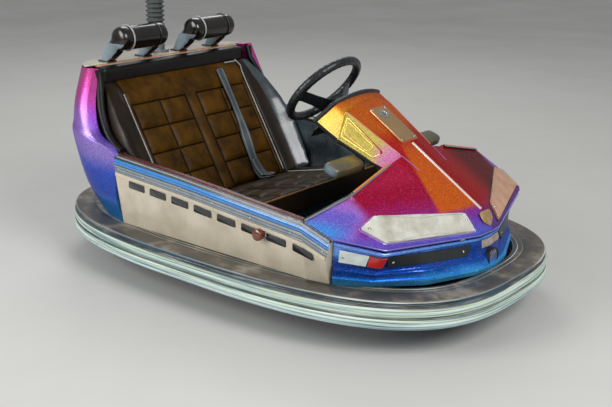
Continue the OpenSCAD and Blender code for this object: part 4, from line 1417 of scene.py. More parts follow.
            # The orange strip along the chrome's top, from corner 1 to corner 2, is a painted reflection
            strip = [q + Vector((-1.5, -0.5 * side, 5.6)) for q in path[:2]]
            ends = [mix(strip[0], strip[1], 0.03), mix(strip[0], strip[1], 0.98)]
            bright.join(sweep(ends, bar(8.4, 2.2, 0.8), (-0.25, 0, 1), finish=2))
        fit(mesh_piece("cockpit_trim", bright, CHROME, RUBBER_EDGE, ORANGE_STRIP_AND_REFLECTION), "chrome_trim")

    def build(self) -> None:
        """Makes every piece of the nose."""
        self.bonnet()
        self.collar()
        self.ridge_trim()
        self.headlamps()
        self.lower_nose()
        self.cockpit_trim()


@dataclass
class Sills:
    """The side walls with their stacked strips, windows and side lamps."""

    stations: tuple[tuple[float, float, float, float], ...] = (
        (-462, 496, 24, 0), (-100, 474, 22, 0), (467, 426, 24, 0), (469, 425, 24, 0), (588, 388, 40, 36),
    )
    half_width: float = SILL_Y
    wall: float = 30.0
    skirt: float = SKIRT

    def crest(self, x: float) -> float:
        """Returns the height of the wall's inner top edge at x."""
        xs = [s[0] for s in self.stations]
        zs = [s[1] for s in self.stations]
        return float(np.interp(x, xs, zs))

    def line(self, y: float, drop: float, start: float, end: float, side: int) -> list[Vector]:
        """Returns a line that follows the wall's top.

        Args:
            y: Distance from the middle.
            drop: Distance under the crest.
            start: First x.
            end: Last x.
            side: 1 for left, -1 for right.

        Returns:
            Points along it.
        """
        xs = [start, *[x for x in np.linspace(start, end, 12)[1:-1]], end]
        return [Vector((x, side * y, self.crest(x) - drop)) for x in xs]

    def build(self) -> None:
        """Makes both walls with all that is on them."""
        strips = (
            ("oxide_strip", OXIDE_PVC, 513.5, 3.0, bar(21, 5, 2.0), "black_vinyl"),
            ("top_chrome", CHROME, 529.5, 7.6, even([(4.5, -2), (4.5, 2), (2.4, 4.6)]), "chrome_trim"),
        )
        bands = (
            (19, 4), (23, 8), (27, 8), (29, 8), (37, 8), (40, 8), (45, 8), (49.5, 8), (51.5, 8), (60, 7.5),
            (62, 7.4), (66, 7.2), (84, 6.2),
        )
        for side, name in HANDS:
            sections = []
            for x, z, foot, slope in self.stations:
                y = self.half_width
                inner = min(y - self.wall, y - foot - 6)
                outline = [(x, inner, z), (x, y - 3, z - 5.4), (x, y, z - 8)]
                outline += [(x - 0.0055 * drop * slope, y + out, z - drop) for drop, out in bands]
                outline += [(x - slope, y - foot, self.skirt), (x - slope, inner, self.skirt)]
                sections.append([Vector((a, side * b, c)) for a, b, c in outline])
            form = solid(sections)
            across = len(sections[0])
            # The finish of each face round the section: cream, azure, teal, azure or grey
            tones = [0, 2, 2, 1, 3, 2, 3, 2, 0, 4, 2, 4, 2, 4, 0, 0, 0, 0]
            for face in range((len(sections) - 1) * across):
                form.finishes[face] = tones[face % across]
            finishes = (CREAM_GEL, AZURE, TEAL_PVC, AZURE, GREY_GEL)
            wall = work_up(mesh_piece("sill_wall_" + name, form, *finishes), 0, 2.0, 2, 30)
            fit(wall, "cream_paint", "sill_" + name)
            for key, finish, y, drop, section, slot in strips:
                path = self.line(y, drop, -452, 462, side)
                if key != "oxide_strip":
                    path.append(Vector((584, side * (y + 4), self.crest(584) - drop)))
                fit(mesh_piece(f"{key}_{name}", sweep(path, section, (0, 0, 1)), finish), slot)
            for key, drop, width, height, finish in (
                ("fine_chrome", 42.5, 4.6, 2.6, CHROME),
                ("low_chrome", 67, 3.0, 2.0, CHROME),
                ("pale_lip", 75, 12.0, 4.5, CREAM_GEL),
            ):
                path = self.line(self.half_width + (8 if drop < 60 else 6.8), drop, -455, 568, side)
                trim = sweep(path, bar(width, height, 1.2, -1.0), (0, side, 0))
                fit(mesh_piece(f"{key}_{name}", trim, finish), "chrome_trim")
            spots = [
                (Vector((x, side * (self.half_width + 7.8), self.crest(x) - 55)), Vector((0, side, 0)))
                for x in (556, 420, 240, 60, -120, -300, -440)
            ]
            fit(mesh_piece("sill_screws_" + name, screws(spots, 8), CHROME), "chrome_trim")
            self.panel(side, name)

    def panel(self, side: int, name: str) -> None:
        """Makes the row of black windows and the round side lamps of one wall.

        Args:
            side: 1 for left, -1 for right.
            name: "left" or "right".
        """
        windows = Form()
        for k in range(8):
            start = 423 - 116 * k
            corners = []
            for x, drop in ((start, 116), (start + 88, 116), (start + 92, 86), (start + 6, 86)):
                z = self.crest(x) - drop
                ys = [self.half_width + 6.2, self.half_width - 24]
                y = np.interp(drop, [84, z + drop - self.skirt], ys)
                corners.append(Vector((x, side * (y + 0.6), z)))
            path = rounded(corners, 7, 4, closed=True)
            middle = sum(path, Vector()) / len(path)
            rows = [[q + Vector((0, side * a, 0)) for q in path] for a in (-2.5, 1.2)]
            rows.append([middle + (q - middle) * 0.95 + Vector((0, side * 1.8, 0)) for q in path])
            windows.join(solid(rows))
        fit(mesh_piece("side_windows_" + name, windows, GLASS_BLACK), "black_plastic")
        at = place((287, side * (self.half_width + 1), 343), (1, 0, 0), (0, side, 0))
        lamp = lathe([(25, -3), (25, 4), (23, 7), (20, 7), (20, 5)], at, 40, 0)
        lamp.join(lathe([(21, 0), (21, 24), (19.5, 28), (15, 30.5), (0, 31.5)], at, 40, 1))
        fit(mesh_piece("side_lamp_" + name, lamp, CHROME, AMBER_LENS, outward=False), "red_cover")


@dataclass
class Tail:
    """The rear body with its raised corners, the cream deck and the rear lamps."""

    skirt: float = SKIRT
    deck: float = 790.0
    shell: float = 6.0

    def rows(self) -> list[list[Point]]:
        """Returns the rear body's left half: rows from the skirt up, from the cockpit to the middle."""
        s, d = self.skirt, self.deck
        return [
            [(-464, 500, s), (-466, 506, s), (-640, 447, s), (-790, 300, s), (-870, 150, s), (-896, 0, s)],
            [(-464, 502, 330), (-466, 534, 330), (-660, 500, 330),
             (-800, 385, 330), (-880, 190, 330), (-898, 0, 330)],
            [(-464, 505, 498), (-466, 538, 492), (-672, 540, 520),
             (-815, 430, 525), (-885, 215, 530), (-900, 0, 530)],
            [(-575, 500, 550), (-580, 538, 545), (-682, 533, 580),
             (-818, 425, 585), (-883, 210, 590), (-896, 0, 590)],
            [(-622, 482, 650), (-630, 518, 650), (-695, 515, 665),
             (-815, 412, 670), (-875, 205, 672), (-886, 0, 672)],
            [(-650, 436, d), (-655, 462, d + 6), (-712, 458, d),
             (-798, 385, d), (-850, 190, d), (-862, 0, d)],
        ]

    def build(self) -> None:
        """Makes the shell, deck and lamps."""
        rows = self.rows()
        full = []
        for row in rows:
            ends = [Vector((row[0][0], row[0][1] * side, row[0][2])) for side in (1, -1)]
            full.append([ends[0], *spline(whole(row[1:]), 6), ends[1]])
        sheet = list(zip(*[spline(column, 5) for column in zip(*full)]))
        shell = mesh_piece("rear_body_shell", Form().grid(sheet), REAR_PAINT, outward=False)
        fit(work_up(shell, self.shell, 3.0, 3, 35), "glitter_paint", "rear_body")
        low, high = self.deck + 0.4, self.deck + 6.4
        half = [(-720, 450, 0), (-798, 385, 0), (-850, 190, 0), (-862, 0, 0)]
        flat = [(-713, 455), *[(q.x, q.y) for q in spline(whole(half), 6)], (-713, -455)]
        form = prism(flat, low, high, Matrix.Identity(4))
        obj = work_up(mesh_piece("rear_deck_sheet", form, CREAM_GEL), 0, 1.8, 3, 40)
        fit(obj, "cream_paint", "rear_deck")
        lamps = Form()
        a, b = Vector(rows[1][3]), Vector(rows[1][4])
        c, d = Vector(rows[2][3]), Vector(rows[2][4])
        normal = (b - a).cross(c - a).normalized()
        normal = normal if normal.x < 0 else -normal
        centre = (a + b + c + d) / 4
        for side in SIDES:
            n = Vector((normal.x, normal.y * side, normal.z))
            at = place(Vector((centre.x, centre.y * side, centre.z)) + n * 2, (0, 1, 0.02), n)
            lamps.join(lathe([(37, -3), (37, 6), (34, 9), (32, 9)], at, 40, 0))
            lamps.join(lathe([(33, 3), (32, 10), (28, 15), (18, 18), (0, 19.5)], at, 40, 1))
        fit(mesh_piece("rear_lamp_units", lamps, CHROME, RED_LENS, outward=False), "red_cover", "rear_lamps")


@dataclass
class Cockpit:
    """The vinyl tub, the toe board, the knee pads and what is on the floor."""

    tub_y: float = 494.6
    foot_y: float = 440.0
    floor: float = 170.4
    wall: float = 5.0
    knee: Point = (425.0, 171.5, 548.0)
    knee_half: Flat = (34.0, 20.5)
    knee_long: float = 168.0
    knee_tilt: float = -20.0

    def tub(self) -> None:
        """Makes the tub of black vinyl with its rolled upper edge."""
        y, f, z = self.tub_y, self.foot_y, self.floor
        rows = [
            [(466, y, 408), (446, y - 10, 300), (424, f, z), (424, 0, z)],
            [(100, y, 450), (100, y - 8, 300), (100, f, z), (100, 0, z)],
            [(-300, y, 474), (-320, y - 8, 310), (-352, f, z), (-352, 0, z)],
            [(-455, y - 1, 488), (-440, 480, 350), (-415, 436, 222), (-410, 0, 216)],
            [(-545, 486, 540), (-520, 470, 470), (-492, 430, 350), (-486, 0, 346)],
            [(-608, 466, 645), (-595, 455, 590), (-575, 425, 500), (-570, 0, 496)],
            [(-645, 430, 735), (-652, 428, 725), (-682, 420, 719), (-688, 0, 719)],
        ]
        lines = [rounded(whole(row), [0, 40, 24, 0.1, 24, 40, 0], 5) for row in rows]
        sheet = smoothed(lines, 70, 5)
        lining = mesh_piece("tub_lining", Form().grid(sheet), TUB_VINYL, outward=False)
        fit(work_up(lining, self.wall, 0, offset=1.0), "black_vinyl", "seat_tub")
        edges = Form()
        for side in SIDES:
            path = [Vector((q.x, abs(q.y) * side, q.z + 2)) for q in [r[0] for r in sheet]]
            path = [q for q in path if q.x < 440]
            edges.join(sweep([q for q in path if q.x > -470], ring(5.0, 10, 0.8), (0, 0, 1)))
            high = [q + Vector((2, side * 7.0, 3)) for q in path if q.x < -440]
            high.append(Vector((-652, side * 440, 786)))
            edges.join(sweep(high, ring(15.0, 16, 0.8), (0, 0, 1)))
        fit(mesh_piece("tub_edge", edges, ROLL_VINYL), "black_vinyl")

    def toe_board(self) -> None:
        """Dresses the toe board, the floor and the pedal."""
        dress("toe_board", BLACK_ABS)
        dress("floor_pan", TREAD_SHEET)
        dress("pedal", TREAD_SHEET)
        dress("seat_base", TUB_VINYL)

    def knee_pads(self) -> None:
        """Makes the two padded knee bars and their brackets."""
        x, y, z = self.knee
        # From here to its outer end, a pad is grey
        grey_start = 158
        tilt = math.radians(self.knee_tilt)
        deep, high = self.knee_half
        for side, name in HANDS:
            rows = []
            for k in range(15):
                share = k / 14
                tip = min(1.0, math.sqrt(max(0.0, 1 - max(0.0, (share - 0.86) / 0.16) ** 2)) + 0.02)
                size = (1 + 0.03 * math.sin(math.pi * share)) * tip
                row = []
                for c, s in ring(1.0, 24):
                    lx = deep * size * math.copysign(abs(c) ** 0.55, c)
                    lz = high * size * math.copysign(abs(s) ** 0.6, s)
                    px = x + lx * math.cos(tilt) - lz * math.sin(tilt)
                    pz = z + lx * math.sin(tilt) + lz * math.cos(tilt)
                    row.append((px, side * (y + 3 + self.knee_long * share), pz))
                rows.append(row)
            form = solid(rows)
            obj = mesh_piece("knee_pad_" + name, form, KNEE_FOAM, KNEE_GREY_END)
            for polygon in obj.data.polygons:
                polygon.material_index = int(abs(polygon.center.y) > (y + grey_start) * MM)
            inflate(obj, lambda q: 1.0 if abs(q.y) < y + 14 else 0.0, 2.0, 3.0)
            work_up(obj, levels=1)
            fit(obj, "black_vinyl", *(["knee_pads"] if side == -1 else []))
            at = place((x, side * (y + 0.2), z - 4), (1, 0, 0), (0, side, 0))
            bracket = prism([(-30, -22), (30, -22), (30, 26), (-30, 26)], 0, 6, at)
            fit(mesh_piece("knee_bracket_" + name, bracket, BLACK_ABS), "black_plastic")

    def build(self) -> None:
        """Makes every piece of the cockpit."""
        self.tub()
        self.toe_board()
        self.knee_pads()


@dataclass
class Bench:
    """The quilted seat: cushion, backrest, top roll, headrests and the belt."""

    foot: Flat = (-343.0, 268.0)
    head: Flat = (-612.0, 716.0)
    back_t: float = 60.0
    front: Flat = (90.0, 366.0)
    rear: Flat = (-342.6, 270.0)
    cushion_w: float = 425.0
    cushion_t: float = 85.0
    tuck: Point = (-648.0, 0.0, 738.0)
    hoop_z: float = 897.4
    columns: tuple[float, ...] = (-338, -190, -42, 22, 170, 318)
    piping: Flat = (-358, 338)
    inner: Flat = (-366, 346)
    rows: tuple[float, ...] = (6, 114, 222, 330, 438)

    def seam(self, across: float, up: float, top: float) -> float:
        """Returns how far a point of a quilted face is from the nearest seam.

        Args:
            across: Place across the seat.
            up: Place along it.
            top: Where the plain band starts.

        Returns:
            The distance.
        """
        lines = [abs(across - c) for c in self.columns if up <= top + 3]
        c = self.columns
        if c[0] <= across <= c[2] or c[3] <= across <= c[5]:
            lines += [abs(up - r) for r in self.rows if r <= top + 3]
        return min([*lines, *[abs(across - p) for p in self.piping]])

    def pad(
        self, name: str, foot: Flat, head: Flat, sides: Flat, thick: float, top: float, skin: Finish,
        tuck: Point | None = None,
    ) -> Piece:
        """Makes a quilted slab whose pillows are blown up between sewn channels.

        Args:
            name: The piece's name.
            foot: Start of its face in x and z.
            head: End of its face.
            sides: Its two side limits.
            thick: Its thickness, measured behind the face.
            top: Where the plain band starts.
            skin: The finish between the two piping cords.
            tuck: Where its upper edge bends back to, if it does.

        Returns:
            The pad.
        """
        start, along, out, length = face_of(foot, head)
        low, high = sides
        ys = spaced(low, high, 10, [*self.columns, *self.piping])
        us = spaced(0, length, 9, [r for r in self.rows if r < length])

        def height(y: float, u: float) -> float:
            """Returns how far the face stands out at a place."""
            edge = u + 12 if tuck else min(y - low, high - y, u + 12, length - u)
            crown = -26 * max(0.0, 1 - edge / 30) ** 2.2
            gap = self.seam(y, u, top)
            groove = -6.5 * math.exp(-((gap / 5.5) ** 2)) if edge > 16 else 0.0
            swell = 4.0 * min(1.0, gap / 30.0) ** 0.6
            side = 3.0 if not self.piping[0] < y < self.piping[1] else 0.0
            return crown + groove + swell + side - 6.0

        front = [[start + along * u + Vector((0, y, 0)) + out * height(y, u) for y in ys] for u in us]
        behind = [[start + along * u + Vector((0, y, 0)) - out * (thick - 1) for y in ys] for u in us]
        if tuck:
            bend, last = length - 34, len(us) - 1
            corner = start + along * (length - 6)
            for k in range(1, 9):
                t = k / 8
                face = mix(mix(start + along * bend, corner, t), mix(corner, tuck, t), t)
                rear = mix(start + along * bend - out * (thick - 1), Vector(tuck) + Vector((-5, 0, -22)), t)
                drop = [Vector((0, y, height(y, length - 60) * 0.6 - 3)) for y in ys]
                if k == 1:
                    while us[last] > bend:
                        front.pop()
                        behind.pop()
                        last -= 1
                front.append([face + q for q in drop])
                behind.append([rear + Vector((0, y, 0)) for y in ys])
        form = Form().grid(front)
        form.grid([list(reversed(r)) for r in behind])
        for row_a, row_b in ((front[0], behind[0]), (behind[-1], front[-1])):
            form.grid([row_b, mix_rows(row_a, row_b, 0.66), mix_rows(row_a, row_b, 0.33), row_a])
        for c, turn in ((0, False), (-1, True)):
            a, b = [row[c] for row in front], [row[c] for row in behind]
            rows = [a, mix_rows(b, a, 0.66), mix_rows(b, a, 0.33), b]
            form.grid(rows if turn else list(reversed(rows)))
        obj = mesh_piece(name, form, skin, BOLSTER_VINYL, SEAM_SHADE, weld=True)
        for polygon in obj.data.polygons:
            y = polygon.center.y / MM
            if not self.piping[0] < y < self.piping[1] or polygon.normal.dot(out) < 0.2:
                polygon.material_index = 1
            # Faces close to a seam wear the painted seam shade
            elif self.seam(y, (polygon.center / MM - start).dot(along), top) < 2:
                polygon.material_index = 2

        def held(q: Vector) -> float:
            """Returns 1 where the pad is sewn or lies on its board, 0 where it may swell."""
            u = (q - start).dot(along)
            sewn = self.seam(q.y, u, top) < 5.5 or u < 1 or u > length - 2
            return 1.0 if sewn or (q - start).dot(out) < -thick * 0.45 else 0.0

        inflate(obj, held, 3.5, 9.0)
        work_up(obj, levels=1)
        return obj

    def cushions(self) -> None:
        """Makes the seat cushion and the backrest with their piping."""
        start, along, out, length = face_of(self.foot, self.head)
        nose, fall, lift, run = face_of(self.front, self.rear)
        back = self.pad(
            "backrest_pad", self.foot, self.head, self.inner, self.back_t, self.rows[4], QUILT_VINYL,
            self.tuck,
        )
        fit(back, "brown_vinyl", "seat_back")
        limits = (-self.cushion_w, self.cushion_w)
        seat = self.pad("seat_pad", self.front, self.rear, limits, self.cushion_t, self.rows[3], SHADED_SEAT_VINYL)
        fit(seat, "brown_vinyl", "seat_cushion")
        cords = Form()
        rim = [Vector((-636, y, 731)) for y in np.linspace(262, self.piping[1] - 4, 8)]
        cords.join(sweep(rim, ring(3.0, 8), (0.7, 0, 0.7)))
        for y in self.piping:
            shift = Vector((0, y, 0))
            path = [start + along * u + shift + out * -5.0 for u in np.linspace(14, length - 34, 40)]
            if y > 0:
                path += [Vector((-610, y, 714)), Vector((-644, y, 736))]
            cords.join(sweep(path, ring(3.0, 8), out))
            path = [nose + fall * u + shift + lift * -5.0 for u in np.linspace(12, run - 16, 30)]
            cords.join(sweep(path, ring(3.0, 8), lift))
        reach = self.cushion_w - 12
        edge = [nose + fall * -1.5 + lift * -11 + Vector((0, y, 0)) for y in np.linspace(-reach, reach, 24)]
        cords.join(sweep(edge, ring(4.0, 8), lift, finish=1))
        fit(mesh_piece("seat_piping", cords, PIPING_PVC, FRONT_WELT), "brown_vinyl")

    def wings(self) -> None:
        """Makes the side bolsters that curve from the backrest to the tub."""
        start, along, out, _ = face_of(self.foot, self.head)
        fars = ((-14, 120, 260, 360, 440, 515, 556), (466, 478, 482, 472, 456, 430, 420))
        reaches = ((-14, 60, 200, 330, 440, 500, 556), (54, 62, 66, 52, 30, 12, 4))
        low, top = fars[0][0], fars[0][-1]
        # From this column of its section on, the left wing wears the tub's black vinyl, with its grey clouds
        # of painted sheen
        grey_from = 6
        for side, name in HANDS:
            near = abs(self.inner[0] if side == -1 else self.inner[1]) - 3
            rows = []
            for k in range(57):
                u = low + (top - low) * k / 56
                far, reach = float(np.interp(u, *fars)), float(np.interp(u, *reaches))
                back = -20 * max(0.0, (u - 489) / 69) ** 2
                section: list[Flat] = [(near, -50), (near, -5)]
                for t in np.linspace(0, 1, 9):
                    section.append((near + 6 + (far - near - 12) * t, -1 + (reach - 10) * t**2.2))
                section += [(far - 3, reach - 12), (far, reach - 22), (far, reach * 0.3 - 20), (far, -50)]
                spot = start + along * u
                rows.append([spot + out * (b + back) + Vector((0, side * a, 0)) for a, b in section])
            form = solid(rows)
            wing = mesh_piece("seat_wing_" + name, form, BOLSTER_VINYL, TUB_VINYL)
            columns = len(section)
            for polygon in wing.data.polygons:
                grey = side == 1 and grey_from <= polygon.index % columns < columns - 1
                polygon.material_index = int(grey)
            inner = near + 4
            inflate(wing, lambda q: 1.0 if abs(q.y) < inner or (q - start).dot(out) < -16 else 0.0, 2.5, 5.0)
            work_up(wing, levels=1)
            fit(wing, "brown_vinyl")

    def top_roll(self) -> None:
        """Makes the padded roll over the backrest and the thin trim on its top edge."""
        x0, x1, z0, z1, half = -712.0, -654.0, 720.0, 790.0, 414.0
        corners = [(x1, 0, z0), (x1 + 0.5, 0, z1 - 3), (x0, 0, z1), (x0, 0, z0)]
        section = rounded(corners, [13, 15, 15, 12], 4, closed=True)
        cx, cz = (x0 + x1) / 2, (z0 + z1) / 2
        rows = []
        for y in np.linspace(-half, half, 41):
            pull = 1 - 0.16 * max(0.0, 1 - (half - abs(y)) / 16) ** 2
            rows.append([(cx + (q.x - cx) * pull, y, cz + (q.z - cz) * pull) for q in section])
        obj = mesh_piece("top_roll_pad", solid(rows), ROLL_VINYL)
        inflate(obj, lambda q: 1.0 if half - abs(q.y) < 3 or q.x < x0 + 4 or q.z < z0 + 4 else 0.0, 2.5, 3.0)
        work_up(obj, levels=1)
        fit(obj, "black_vinyl", "backrest_roll")
        ys = np.linspace(-half + 8, half - 8, 20)
        trim = sweep([(x0 + 9, y, z1 + 0.2) for y in ys], bar(9, 3, 1.2), (0, 0, 1))
        trim.join(sweep([(x0 + 17, y, z1 - 0.4) for y in ys], ring(2.2, 8), (0, 0, 1), finish=1))
        fit(mesh_piece("top_roll_trim", trim, ORANGE_STRIP_AND_REFLECTION, PIPING_PVC), "chrome_trim")

    def headrests(self) -> None:
        """Makes the two padded hoops."""
        # The sides of the stems, below the hoops, are grey: partly grey vinyl, partly painted reflection
        grey_under, flank = (self.hoop_z - 19.4) * MM, 0.72
        stem = (
            (-739, 797.2, 25, 22), (-720, 822, 29, 24), (-692, 852, 37, 26), (-660, 884, 42, 27),
            (-650, 902, 40, 26),
        )
        reach = 97.0
        for side, name in HANDS:
            centre = 200.0 * side - 18.0
            at = place((-645, centre, self.hoop_z), (1, 0, 0), (0, 1, 0))
            curve = [(0, -124), (26, -123), (40, -118), (46, -108), (48, -94)]
            form = lathe([*curve, (48.5, 0), *[(r, -y) for r, y in reversed(curve)]], at, 40)
            for y in (-reach, reach):
                rows = []
                for x, z, deep, wide in stem:
                    lean = Vector((0.78, 0, -0.45)).normalized() if 800 <= z < 880 else Vector((1, 0, 0))
                    middle = Vector((x, centre + y, z))
                    outline = round_box(2, 2, 0.8, 3)
                    rows.append([middle + lean * deep * a + Vector((0, wide * b, 0)) for a, b in outline])
                form.join(solid(rows))
            obj = mesh_piece("headrest_pad_" + name, form, HEADREST_VINYL, weld=True)
            union = obj.modifiers.new("union", "REMESH")
            union.mode = "VOXEL"
            union.voxel_size = 0.005
            settle(obj)
            inflate(obj, lambda q: 1.0 if q.z < 806 else 0.0, 4.0, 6.0)
            work_up(obj, levels=1)
            obj.data.materials.append(GREY_VINYL_AND_REFLECTION.material())
            for polygon in obj.data.polygons:
                polygon.use_smooth = True
                grey = polygon.center.z < grey_under and abs(polygon.normal.y) > flank
                polygon.material_index = int(grey)
            fit(obj, "black_vinyl", "headrest_" + name)
            rings = Form()
            # The pale cord at each hoop's right end is a painted highlight; the cord at its left end is black
            # rubber
            for tone, y in enumerate((-72, 72)):
                circle = [(x - 645, centre + y, z + self.hoop_z) for x, z in ring(50.5, 40)]
                rings.join(sweep(circle, ring(3.0 - tone, 8), (0, 1, 0), closed=True, finish=tone))
            obj = mesh_piece("headrest_piping_" + name, rings, PIPING_PVC, RUBBER_EDGE)
            fit(obj, "black_vinyl")
            feet = Form()
            for y in (-reach, reach):
                at = place((-739, centre + y, 796.8), (1, 0, 0), (0, 0, 1))
                feet.join(prism(round_box(70, 50, 12), 0, 4, at, crown=1))
            fit(mesh_piece("headrest_feet_" + name, feet, BLACK_ABS), "black_plastic")

    def belt(self) -> None:
        """Makes the lap strap that hangs over the backrest and ends in a fold."""
        start, along, out, length = face_of(self.foot, self.head)
        nose, fall, lift, run = face_of(self.front, self.rear)
        spine = [(start + along * u, out) for u in np.linspace(length - 2, 34, 44)]
        for d, k in ((14, 0.6), (22, 1.4), (32, 4.0), (46, 30), (62, 90), (78, 90)):
            spine.append((nose + fall * (run - d), (out + lift * k).normalized()))
        last = len(spine) - 1
        ribs = [(a / 4, 1.0 + (0.8 if a % 2 else 0.0)) for a in range(-4, 5)]
        ribs += [(1, -0.8), (0, -0.8), (-1, -0.8)]
        rows = []
        for k, (spot, normal) in enumerate(spine):
            t = k / last
            pinch = 1 - 0.40 * math.exp(-(((t - 0.42) / 0.16) ** 2))
            twist = 0.75 * math.sin(2 * math.pi * (t - 0.3)) * math.exp(-(((t - 0.45) / 0.22) ** 2))
            rise = 5 + 4 * math.exp(-(((t - 0.45) / 0.2) ** 2)) + 2 * t
            y = 198 - 26 * t + 6 * math.sin(5 * t)
            across = Vector((0, math.cos(twist), 0)) + normal * math.sin(twist)
            middle = spot + Vector((0, y, 0)) + normal * rise
            rows.append([middle + across * (24 * pinch * a) + normal * b for a, b in ribs])
        form = solid(rows)
        fold = []
        for k in range(last, last - 12, -1):
            spot, normal = spine[k]
            t = (last - k) / 11
            rise = 12 + 10 * math.sin(math.pi * min(1.0, t * 1.2 + 0.1)) * (1 - 0.4 * t)
            middle = spot + Vector((0, 173 + 4 * math.sin(3 * t), 0)) + normal * rise
            waves = [(a, b + 3 * math.sin(a * 3 + 2 * t)) for a, b in ribs]
            fold.append([middle + Vector((0, a * 23, 0)) + normal * b for a, b in waves])
        form.join(solid(fold))
        for face, corners in enumerate(form.faces):
            form.finishes[face] = 1 if len(corners) == 4 and min(corners) % 12 in (1, 6) else 0
        obj = work_up(mesh_piece("lap_strap", form, WEBBING, BELT_THREAD), levels=1)
        fit(obj, "belt_webbing", "seat_belt")

    def build(self) -> None:
        """Makes every piece of the bench."""
        self.cushions()
        self.wings()
        self.top_roll()
        self.headrests()
        self.belt()


def face_of(foot: Flat, head: Flat) -> tuple[Vector, Vector, Vector, float]:
    """Returns a slab face's start, its direction, the way out of it and its length."""
    start, end = Vector((foot[0], 0, foot[1])), Vector((head[0], 0, head[1]))
    length = (end - start).length
    along = (end - start) / length
    return start, along, Vector((along.z, 0, -along.x)), length


def spaced(low: float, high: float, step: float, lines: Sequence[float]) -> list[float]:
    """Returns even places from low to high, with two close places beside each line."""
    places = [low + (high - low) * k / int((high - low) / step) for k in range(int((high - low) / step) + 1)]
    near = [a + d for a in lines for d in (-3.0, 0.0, 3.0) if low <= a + d <= high]
    return sorted([p for p in places if all(abs(p - q) > 2.2 for q in near)] + near)


def mix_rows(a: Sequence[Point], b: Sequence[Point], t: float) -> list[Vector]:
    """Returns the row a share t of the way from row a to row b."""
    return [mix(p, q, t) for p, q in zip(a, b)]


def dress(node: str, finish: Finish) -> None:
    """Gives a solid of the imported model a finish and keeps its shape.

    Args:
        node: The solid's name.
        finish: What it wears.
    """
    obj = bpy.data.objects[node]
    obj.data.materials.clear()
    obj.data.materials.append(finish.material())
    LOG.info("%s wears %s", node, finish.name)


@dataclass
class SteeringGear:
    """The dished steering wheel on its shaft."""

    centre: Point = WHEEL_CENTRE
    tilt: float = COLUMN_TILT
    diameter: float = 342.0
    grip: float = 33.0

    def build(self) -> None:
        """Makes the wheel and dresses the shaft and the bridge under it."""
        t = math.radians(self.tilt)
        axis = Vector((-math.sin(t), 0, math.cos(t)))
        at = place(self.centre, (math.cos(t), 0, math.sin(t)), axis)
        r = (self.diameter - self.grip) / 2
        rows = []
        for k in range(160):
            a = 2 * math.pi * k / 160
            swell = 1 + 0.025 * math.sin(40 * a)
            out = Vector((math.cos(a), math.sin(a), 0))
            circle = ring(self.grip / 2 * swell, 20)
            rows.append([at @ (out * (r + b) + Vector((0, 0, c))) for b, c in circle])
        rows.append(rows[0])
        form = Form().grid(rows, ring=True)
        obj = mesh_piece("wheel_grip", form, GRIP_PU, weld=True)
        fit(obj, "black_vinyl", "steering_wheel", body=Body.STEERING)
        spokes = Form()
        for side in SIDES:
            line = [(24, -72), (40, -73), (62, -64), (96, -38), (128, -14), (150, -3)]
            wide = [36, 34, 29, 25, 24, 27]
            thick = 5.5
            outline = [*even([(1, -0.5), (1, 0.4), (0.8, 0.9), (0, 1.1)]), (0, -0.7)]
            sections = []
            for (reach, z), w in zip(line, wide):
                sections.append([at @ Vector((a * w, side * reach, z + b * thick)) for a, b in outline])
            spokes.join(solid(sections))
        hub = [(0, -80), (45, -80), (46, -70), (44, -58), (36, -53), (20, -50), (0, -49)]
        spokes.join(lathe(hub, at, 40))
        spokes.join(lathe([(0, -49.5), (17, -49.5), (17, -47.5), (14, -46.5), (0, -46.5)], at, 30, 1))
        obj = work_up(mesh_piece("wheel_spokes", spokes, BLACK_ABS, CHROME), 0, 1.5, 2, 35)
        fit(obj, "black_plastic", body=Body.STEERING)
        dress("steering_shaft", TUBE_STEEL)
        dress("steering_bridge", FRAME_ENAMEL)


@dataclass
class CeilingPole:
    """The pole to the ride's ceiling with its corrugated sleeve and contact head."""

    x: float = -790.0
    foot: float = 873.2
    length: float = 270.0
    waves: int = 14
    radius: float = 41.0
    inner: float = 20.0

    def build(self) -> None:
        """Makes the sleeve and dresses the pole."""
        at = Matrix.Translation((self.x, 0, self.foot))
        profile = [(self.inner, 0), (self.radius - 2, 0)]
        for k in range(self.waves * 8 + 1):
            share = k / (self.waves * 8)
            wave = math.cos(2 * math.pi * k / 8)
            swell = 4.6 * math.copysign(abs(wave) ** 0.7, wave)
            profile.append((self.radius - 5 + swell, 1 + (self.length - 2) * share))
        profile += [(self.radius - 6, self.length), (self.inner, self.length)]
        obj = mesh_piece("pole_sleeve", lathe(profile, at, 56), SLEEVE_PVC)
        fit(obj, "boot_rubber", "pole_boot")
        clips = Form()
        for z in (12.0, 258.0):
            clips.join(lathe([(36, z - 6), (42, z - 6), (42.5, z), (42, z + 6), (36, z + 6)], at, 56))
        corners = [(self.x + a, b, 806.8) for a, b in ((32, 32), (-32, 32), (-32, -32), (32, -32))]
        clips.join(screws([(spot, (0, 0, 1)) for spot in corners], 9))
        fit(mesh_piece("sleeve_clips", clips, CHROME), "steel_tube")
        dress("pole", TUBE_STEEL)
        dress("pole_base", TUBE_STEEL)
        dress("pole_contact", CONTACT_BRONZE)


